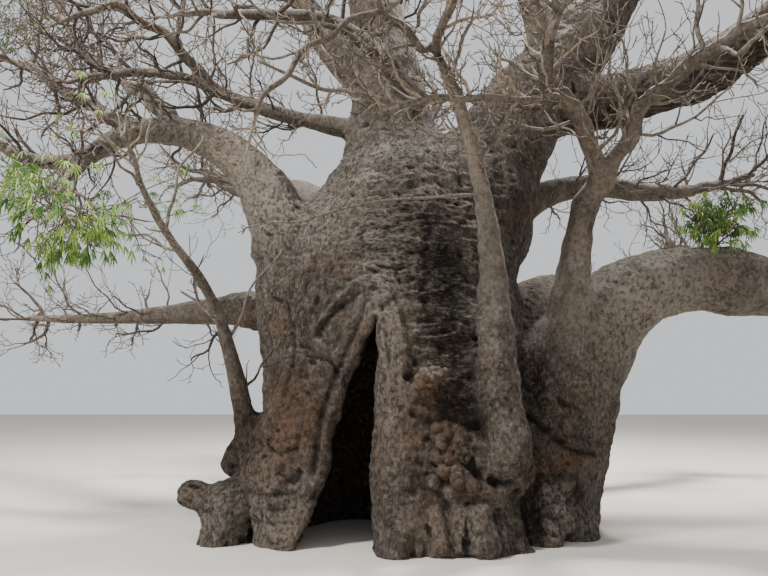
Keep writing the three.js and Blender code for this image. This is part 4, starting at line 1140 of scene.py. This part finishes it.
def placed(name, points, faces, materials):
    """A smooth mesh of points and faces at the origin, as a piece of the one body."""
    mesh = bpy.data.meshes.new(name)
    mesh.from_pydata(points, [], faces)
    for material in materials:
        mesh.materials.append(material)
    mesh.shade_smooth()
    piece = bpy.data.objects.new(name, mesh)
    bpy.context.collection.objects.link(piece)
    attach(piece, "root")
    return piece


def bark_piece(name, points, faces, facts):
    """A piece of the bark with its facts at each point, which stands for the trunk and the boughs."""
    piece = placed(name, points, faces, [bark])
    for fact, values in facts.items():
        layer = piece.data.attributes.new(fact, "FLOAT", "POINT")
        layer.data.foreach_set("value", values.astype(np.float32))
    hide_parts("trunk", *BOUGHS)
    return piece


# the bark in eight pieces, each of what the ones before it leave
across, depth, up = bark_points[bark_faces].mean(1).T
low, ahead = up < 3.3, depth < -0.35
REGIONS = {
    "bark_foot_left": low & ahead & (abs(across + 1.65) < 1.35),
    "bark_foot_right": low & ahead & (abs(across - 1.35) < 1.65),
    "bark_trunk_back": low & ~ahead & (abs(across) < 3),
    "bark_left": (across < -0.9) & (depth < 0.5),
    "bark_left_back": (across < 0.2) & (depth > 0.5),
    "bark_right": (across > 1.3) & (depth < 0.1),
    "bark_right_back": (across > 1.3) | (depth > 0.9),
    "bark_top": across > -99,
}
taken = np.zeros(len(bark_faces), bool)
for name, region in REGIONS.items():
    used, faces = np.unique(bark_faces[region & ~taken], return_inverse=True)
    taken |= region
    own_facts = {fact: values[used] for fact, values in facts.items()}
    piece = bark_piece(name, bark_points[used], faces.reshape(-1, 4), own_facts)
    piece.data.normals_split_custom_set_from_vertices(outwards[used])

# slim limbs of the bare wood between the stems: what bears each and where, then its path, and its radii
CROSSING = (
    ("right_stem_left", 0.60, ((1.50, -2.25, 4.86), (1.31, -2.35, 4.77), (1.10, -2.44, 4.68),
                               (0.88, -2.52, 4.67), (0.62, -2.60, 4.66), (0.40, -2.68, 4.57),
                               (0.20, -2.72, 4.59), (0.02, -2.75, 4.56), (-0.22, -2.80, 4.43),
                               (-0.41, -2.85, 4.50), (-0.58, -2.88, 4.51), (-0.73, -2.90, 4.58),
                               (-0.98, -2.95, 4.52), (-1.21, -3.00, 4.62), (-1.62, -3.12, 4.76)),
     (0.048, 0.038, 0.034, 0.026, 0.014)),
    ("crossing_1", 0.52, ((-0.14, -2.85, 4.68), (-0.22, -2.90, 4.76), (-0.48, -2.98, 4.78),
                          (-0.80, -3.05, 4.95)), (0.026, 0.020, 0.012)),
    ("front_stem", 0.63, ((0.45, -1.98, 3.80), (0.12, -1.90, 3.79), (-0.35, -1.84, 3.79),
                          (-0.79, -1.76, 3.73), (-1.10, -1.70, 3.66), (-1.38, -1.62, 3.59),
                          (-1.75, -1.55, 3.61), (-2.04, -1.50, 3.55)), (0.020, 0.017, 0.014, 0.009)),
)
CROSSING_STEPS = 60
SLIM_SIDES = 14
SLIM_RINGS_APART = 0.035


def tube_walls(rings, sides):
    """The four-sided faces between the rings of a tube, as numbers of its points."""
    low = np.arange(rings - 1)[:, None] * sides
    one, two = (low + np.arange(sides)).ravel(), (low + (np.arange(sides) + 1) % sides).ravel()
    return np.stack([one, two, two + sides, one + sides], 1)


def slim_tube(limb):
    """A tube along the slim part of a limb: rings of points off its middle line by the radius, which swells
    and pinches with noise. Its faces are four-sided, and the first and last ring are closed."""
    start = max(0, limb.stout - 1) / limb.steps
    rings = max(6, int(limb.long * (1 - start) / SLIM_RINGS_APART))
    share = np.linspace(start, 1, rings)
    path = limb.where(share)
    run = unit(np.gradient(path, axis=0))
    level = np.eye(3)[np.argmin(np.abs(run).max(0))]
    side = unit(np.cross(run, level))
    turn = np.linspace(0, 2 * np.pi, SLIM_SIDES, endpoint=False)[:, None]
    out = np.cos(turn) * side[:, None] + np.sin(turn) * np.cross(run, side)[:, None]
    points = (path[:, None] + out * limb.radius(share)[:, None, None]).reshape(-1, 3)
    swell = 0.16 * noise(points * 7) + 0.10 * noise(points * 19)
    points = points + out.reshape(-1, 3) * (swell * np.repeat(limb.radius(share), SLIM_SIDES))[:, None]
    corners = np.arange(rings * SLIM_SIDES).tolist()
    ends = [corners[:SLIM_SIDES][::-1], corners[-SLIM_SIDES:]]
    return points, tube_walls(rings, SLIM_SIDES).tolist() + ends, out.reshape(-1, 3)


for order, (bearer, share, path, radii) in enumerate(CROSSING):
    path = np.vstack([limbs[bearer].where(share), path])
    spots = np.linspace(0, len(path) - 1, CROSSING_STEPS + 1)
    path = np.stack([np.interp(spots, np.arange(len(path)), path[:, axis]) for axis in range(3)], 1)
    for _ in range(5):
        path[1:-1] = (path[:-2] + 2 * path[1:-1] + path[2:]) / 4
    long = np.linalg.norm(np.diff(path, axis=0), axis=1).sum()
    limbs[f"crossing_{order + 1}"] = Limb(path, radii, long)

slim_points, slim_faces, slim_out = [], [], []
for limb in limbs.values():
    if limb.stout < limb.steps:
        points, faces, out = slim_tube(limb)
        base = sum(len(rows) for rows in slim_points)
        slim_faces += [[base + corner for corner in face] for face in faces]
        slim_points.append(points)
        slim_out.append(out)
slim_points, slim_out = np.concatenate(slim_points), np.concatenate(slim_out)
none = np.zeros(len(slim_points))
slim_facts = {
    "painted_hollow_shade": none, "young": none + 0.85, "stain_and_shade": none, "rusty": none + 0.3, "torn": none, "ropy": none,
    # painted light: the slim limbs are paler on their upper side
    "pale": 0.40 + fade(slim_out[:, 2], 0.1, 0.85) * 0.5,
}
bark_piece("bark_slim_limbs", slim_points, slim_faces, slim_facts)

# ---------------------------------------------------------------------------------------------------------
# The twigs. Bare crooked wood, grey-brown to tan, that branches four times over from each bough's tip, with
# more along the slim boughs, and short spurs where leaves have been. Each grows out of the one before.
# ---------------------------------------------------------------------------------------------------------

SIDE_TWIGS_APART = 0.125
SLIM_BOUGH = 0.26
TUBE_RINGS = (9, 12, 10, 6, 4)
TUBE_SIDES = (9, 7, 6, 4, 3)
LAST_RING = 0.94
FIRST_SIDE_NUMBER = 5000.0


def tubes(twigs, rings, sides):
    """A closed tapering tube along each twig, as points and triangles: round each of its rings the points
    stand off the path by the radius times a cosine along its side and a sine across; one last point is the
    tip."""
    share = np.linspace(0, LAST_RING, rings)
    path = twigs.where(np.append(share, 1.0))
    run = unit(path[:, 1:] - path[:, :-1])
    side = twigs.side[:, None]
    side = unit(side - (side * run).sum(2, keepdims=True) * run)
    across = np.cross(run, side)
    radius = twigs.radius(share)[:, :, None, None]
    turn = np.linspace(0, 2 * np.pi, sides, endpoint=False)[None, None, :, None]
    out = np.cos(turn) * side[:, :, None] + np.sin(turn) * across[:, :, None]
    ring = path[:, :-1, None] + radius * out
    points = np.concatenate([ring.reshape(len(path), -1, 3), path[:, -1:]], 1)
    walls = tube_walls(rings, sides)[:, [0, 1, 2, 0, 2, 3]].reshape(-1, 3)
    corner, last = np.arange(sides), (rings - 1) * sides
    cap = np.stack([last + corner, last + (corner + 1) % sides, 0 * corner + rings * sides], 1)
    back = np.stack([0 * corner[2:], corner[2:], corner[1:-1]], 1)
    one = np.concatenate([walls, cap, back])
    faces = one[None] + np.arange(len(path))[:, None, None] * points.shape[1]
    return points.reshape(-1, 3), faces.reshape(-1, 3)


def side_twigs():
    """Twigs along the slim boughs, evenly spaced by length, turned on by the golden angle, leaning up."""
    made = []
    hosts = [(order, limbs[name], 0.25, 1) for order, name in enumerate(bearers)]
    hosts += [(bearers.index("right_stem_left"), limbs["crossing_1"], 0.04, 0.5),
              (bearers.index("front_stem_left"), limbs["crossing_2"], 0.3, 0.5),
              (bearers.index("front_stem_right"), limbs["crossing_3"], 0.1, 0.13),
              (bearers.index("front_stem_right"), limbs["front_stem"], 0.66, 0.8)]
    for place, (order, limb, first, much) in enumerate(hosts):
        count = int(limb.long * (1 - first) / SIDE_TWIGS_APART)
        share = first + (1 - first) * (np.arange(count) + 0.5) / count
        share = share[limb.radius(share) < SLIM_BOUGH]
        if not len(share):
            continue
        number = FIRST_SIDE_NUMBER + np.arange(len(share)) + 90 * place
        mass = np.full(len(share), float(order))
        root = limb.where(share)
        run = unit(limb.where(share + 0.01) - limb.where(share - 0.01))
        flat = unit(np.cross((0, 0, 1), run))
        leaning = turned(run, flat, -(42 + 30 * chance(mass, number, 1)))
        ahead = turned(leaning, run, GOLDEN_TURN * number + 50 * chance(mass, number, 2))
        long = (0.45 + 1.1 * chance(mass, number, 3) ** 1.3 * (1 - 0.3 * share)) * much
        thick = np.minimum(0.016 + 0.016 * chance(mass, number, 7), 0.6 * limb.radius(share))
        made.append(Twigs(2, mass, number, root, ahead, long, thick, 360 * chance(mass, number, 4)))
    return joined_twigs(made)


second = joined_twigs([fitting(first_twigs.branches()), fitting(side_twigs(), spaced=False)])
third = fitting(second.branches(), spaced=False)
fourth = fitting(third.branches(), spaced=False)
slim = [group.only(group.thick <= STOUT_TWIG) for group in (stems, first_twigs)]
levels = (*slim, second, third, fourth)


def joined_piece(name, rows, materials):
    """Batches of points, triangles and material numbers as one piece."""
    offset = np.cumsum([0] + [len(points) for points, _, _ in rows[:-1]])
    points, which = (np.concatenate([row[part] for row in rows]) for part in (0, 2))
    faces = np.concatenate([row[1] + start for row, start in zip(rows, offset)])
    piece = placed(name, points, faces, materials)
    piece.data.polygons.foreach_set("material_index", which.astype(np.int32))
    return piece


def twig_material(name, dark, light):
    """Thin bark of a twig: two close tones in fine clouds along the wood."""
    paint = Paint(name, Specular_IOR_Level=0.2)
    fine = paint.clouds(paint.place(), 23.0, 4, 0.6)
    colour = paint.mix(dark, light, paint.step(fine, 0.35, 0.65))
    return paint.finish(colour, 0.88 - fine * 0.1, fine, 0.004)


# three tones of one twig bark, partly painted light: the dark one painted shade, the tan one painted
# sunlight
TWIG_TONES = (
    twig_material("twig_dark_shaded", (0.050, 0.038, 0.030), (0.105, 0.083, 0.066)),
    twig_material("twig_grey", (0.100, 0.081, 0.065), (0.200, 0.166, 0.134)),
    twig_material("twig_tan_sunlit", (0.180, 0.136, 0.098), (0.320, 0.255, 0.190)),
)
TONE_LIMITS = (0.50, 0.88)
PIECE_FACES = 190000

# each twig's tone comes by chance, by its mass and its branch, and is paler in front; partly the twigs' own
# tones, partly painted light: the tan stands for sunlit twigs and the dark for twigs in shade against the
# sky
batches = {}
for level, group in enumerate(levels):
    for mass in range(len(mass_nodes)):
        part = group.only(group.mass == mass)
        if len(part.long):
            points, faces = tubes(part, TUBE_RINGS[level], TUBE_SIDES[level])
            near = fade(-part.root[:, 1], 1.2, 2.8)
            tone = chance(mass, level + 3, 9) + chance(part.mass, part.number // 64, 8)
            tone = np.searchsorted(TONE_LIMITS, 0.45 * tone + 0.35 * near)
            which = np.repeat(tone, len(faces) // len(part.long))
            batches.setdefault(mass, []).append((points, faces, which))

rows, nodes, made = [], [], 0
for mass in list(batches) + [None]:
    full = sum(len(row[1]) for row in rows + batches.get(mass, []))
    if mass is None or full > PIECE_FACES:
        made += 1
        piece = joined_piece(f"twigs_{made}", rows, TWIG_TONES)
        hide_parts(*nodes)
        rows, nodes = [], []
    if mass is not None:
        rows += batches[mass]
        nodes.append(mass_nodes[mass])

# ---------------------------------------------------------------------------------------------------------
# The leaves. A few sprays of fresh leaves, each a hand of soft narrow leaflets on a thin stalk, folded
# along the middle. They hang from the drooping bough on the left and from a shoot on the arch.
# ---------------------------------------------------------------------------------------------------------

LEAFLETS = 6
LEAFLET_FACES = 8
STALK_FACES = 8
LEAFLET_LONG = 0.105
LEAFLET_WIDE = 0.017
STALK_WIDE = 0.0022
LEAFY = (("left_drop_bough", 0.32), ("left_bough", 0.04), ("left_upper_bough", 0.02))


def hands(points, out, size, turn):
    """Hands of leaflets at the points: a stalk out along a direction, and from its end the leaflets turned
    evenly about the stalk, leaning out and hanging; each is a lens shape, folded along its middle line."""
    count = len(points)
    flat = unit(np.cross(out, (0.0, 0.3, 1.0)))
    up = np.cross(flat, out)
    stalk_end = points + out * (size * 0.9)[:, None]
    s = np.array([0, 0.33, 0.33, 0.33, 0.72, 0.72, 0.72, 1.0])
    w = np.array([0, 1, 0, -1, 0.78, 0, -0.78, 0])
    lift = np.array([0, 0.12, 0, 0.12, 0.1, 0, 0.1, 0])
    blade = np.array([(0, 2, 1), (0, 3, 2), (1, 2, 5), (1, 5, 4),
                      (2, 3, 6), (2, 6, 5), (4, 5, 7), (5, 6, 7)])
    parts = []
    for leaflet in range(LEAFLETS):
        angle = turn + 2 * np.pi * (leaflet + 0.2 * chance(turn, leaflet, 1)) / LEAFLETS
        spread = np.cos(angle)[:, None] * flat + np.sin(angle)[:, None] * up
        ahead = unit(0.75 * spread + 0.55 * out + (0, 0, -0.95))
        wide = unit(np.cross(ahead, out + (0.01, 0, 0.02)))
        top = np.cross(wide, ahead)
        long = (size * (0.85 + 0.3 * chance(turn, leaflet, 2)))[:, None, None]
        body = stalk_end[:, None] + ahead[:, None] * long * s[None, :, None]
        body = body + wide[:, None] * (w * LEAFLET_WIDE / LEAFLET_LONG / 2)[None, :, None] * long
        body = body + top[:, None] * lift[None, :, None] * long * 0.6
        body[:, :, 2] -= 0.45 * long[:, :, 0] * s * s
        parts.append(body)
    body = np.stack(parts, 1).reshape(-1, 3)
    blades = np.arange(count * LEAFLETS)[:, None, None] * len(s) + blade
    thin = np.array([(0, 0), (1, 0), (0.5, 0.87)]) * STALK_WIDE
    ends = [end[:, None] + thin[None, :, :1] * flat[:, None] + thin[None, :, 1:] * up[:, None]
            for end in (points, stalk_end)]
    stalks = np.concatenate(ends, 1).reshape(-1, 3)
    stalk = np.array([(0, 1, 4), (0, 4, 3), (1, 2, 5), (1, 5, 4),
                      (2, 0, 3), (2, 3, 5), (0, 2, 1), (3, 4, 5)])
    stalk_faces = np.arange(count)[:, None, None] * 2 * len(thin) + stalk
    faces = np.concatenate([blades.reshape(-1, 3), stalk_faces.reshape(-1, 3) + len(body)])
    return np.concatenate([body, stalks]), faces


# a leaf blade has one base colour and a slight sheen
LEAF_TONES = [
    Paint(name, Base_Color=(*colour, 1), Roughness=0.55, Specular_IOR_Level=0.35).material
    for name, colour in (
        ("leaf_yellow_green", (0.30, 0.42, 0.09)),
        ("leaf_green", (0.18, 0.31, 0.06)),
        ("leaf_deep_green", (0.09, 0.18, 0.04)),
    )
]
bearing = []
for level in (third, fourth):
    for order, name in enumerate(bearers):
        share = dict(LEAFY).get(name, 0)
        if share:
            part = level.only(level.mass == order)
            bearing.append(part.only(chance(part.mass, np.floor(part.number / 64), 11) < share))
    shoots = level.only((level.mass == len(bearers)) & (level.level == 3))
    bearing.append(shoots.only(chance(shoots.mass, shoots.number, 11) < 0.45))
leaf_rows = []
for twigs in bearing:
    for along in (0.6, 0.97) if twigs.level == 3 else (0.97,):
        if len(twigs.long):
            where = twigs.where([along - 0.02, along])
            run = unit(where[:, 1] - where[:, 0])
            turn = GOLDEN_TURN * (twigs.number + along * 7)
            out = turned(unit(turned(run, twigs.side, 55 + 0 * turn)), run, turn)
            out = unit(out + (0, 0, -0.25))
            size = LEAFLET_LONG * (0.75 + 0.5 * chance(twigs.mass, twigs.number, along))
            points, faces = hands(where[:, 1], out, size, np.radians(turn))
            tone = np.floor(chance(twigs.mass, twigs.number // 8, 12) * 2.99)
            which = [np.repeat(tone, faces_each) for faces_each in (LEAFLETS * LEAFLET_FACES, STALK_FACES)]
            which = np.concatenate(which)
            leaf_rows.append((points, faces, which))
leaves = joined_piece("leaves", leaf_rows, LEAF_TONES)
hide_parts("left_drop_bough_twigs", "arch_shoot")

# ---------------------------------------------------------------------------------------------------------
# The place. A plain pale floor, a pale sky with a soft light from above and another from the left in front,
# and a camera at eye level that looks straight at the doorway's side of the tree.
# ---------------------------------------------------------------------------------------------------------

floor_mesh = bpy.data.meshes.new("floor")
floor_mesh.from_pydata([(-60, -60, 0), (60, -60, 0), (60, 60, 0), (-60, 60, 0)], [], [(0, 1, 2, 3)])
floor = bpy.data.objects.new("floor", floor_mesh)
bpy.context.collection.objects.link(floor)
ground = Paint("floor", Base_Color=(0.62, 0.575, 0.51, 1), Roughness=0.95)
floor_mesh.materials.append(ground.material)

world = bpy.data.worlds.new("sky")
world.use_nodes = True
sky = world.node_tree.nodes["Background"].inputs
sky["Color"].default_value, sky["Strength"].default_value = (0.93, 0.96, 1.0, 1), 0.8
bpy.context.scene.world = world

for name, at, aim, wide, power in (
    ("key_light", (6, 4, 18), (0, 0, 3), 3, 8500),
    ("fill_light", (-9, -7, 12), (0, 0, 2.0), 1.6, 3000),
):
    lamp = bpy.data.lights.new(name, "AREA")
    lamp.shape, lamp.size, lamp.energy = "DISK", wide, power
    light = bpy.data.objects.new(name, lamp)
    bpy.context.collection.objects.link(light)
    light.location = at
    light.rotation_euler = (Vector(aim) - Vector(at)).to_track_quat("-Z", "Y").to_euler()

FOCAL_PIXELS = 621.0
PICTURE_WIDE = 768
HORIZON_ROW, MIDDLE_ROW = 400, 288
EYE = (-0.4, -8.6, 1.55)
lens = bpy.data.cameras.new("camera")
lens.sensor_width = 36.0
lens.lens = 36.0 * FOCAL_PIXELS / PICTURE_WIDE
camera = bpy.data.objects.new("camera", lens)
bpy.context.collection.objects.link(camera)
camera.location = EYE
camera.rotation_euler = (np.pi / 2 + np.arctan((HORIZON_ROW - MIDDLE_ROW) / FOCAL_PIXELS), 0, 0)
bpy.context.scene.camera = camera
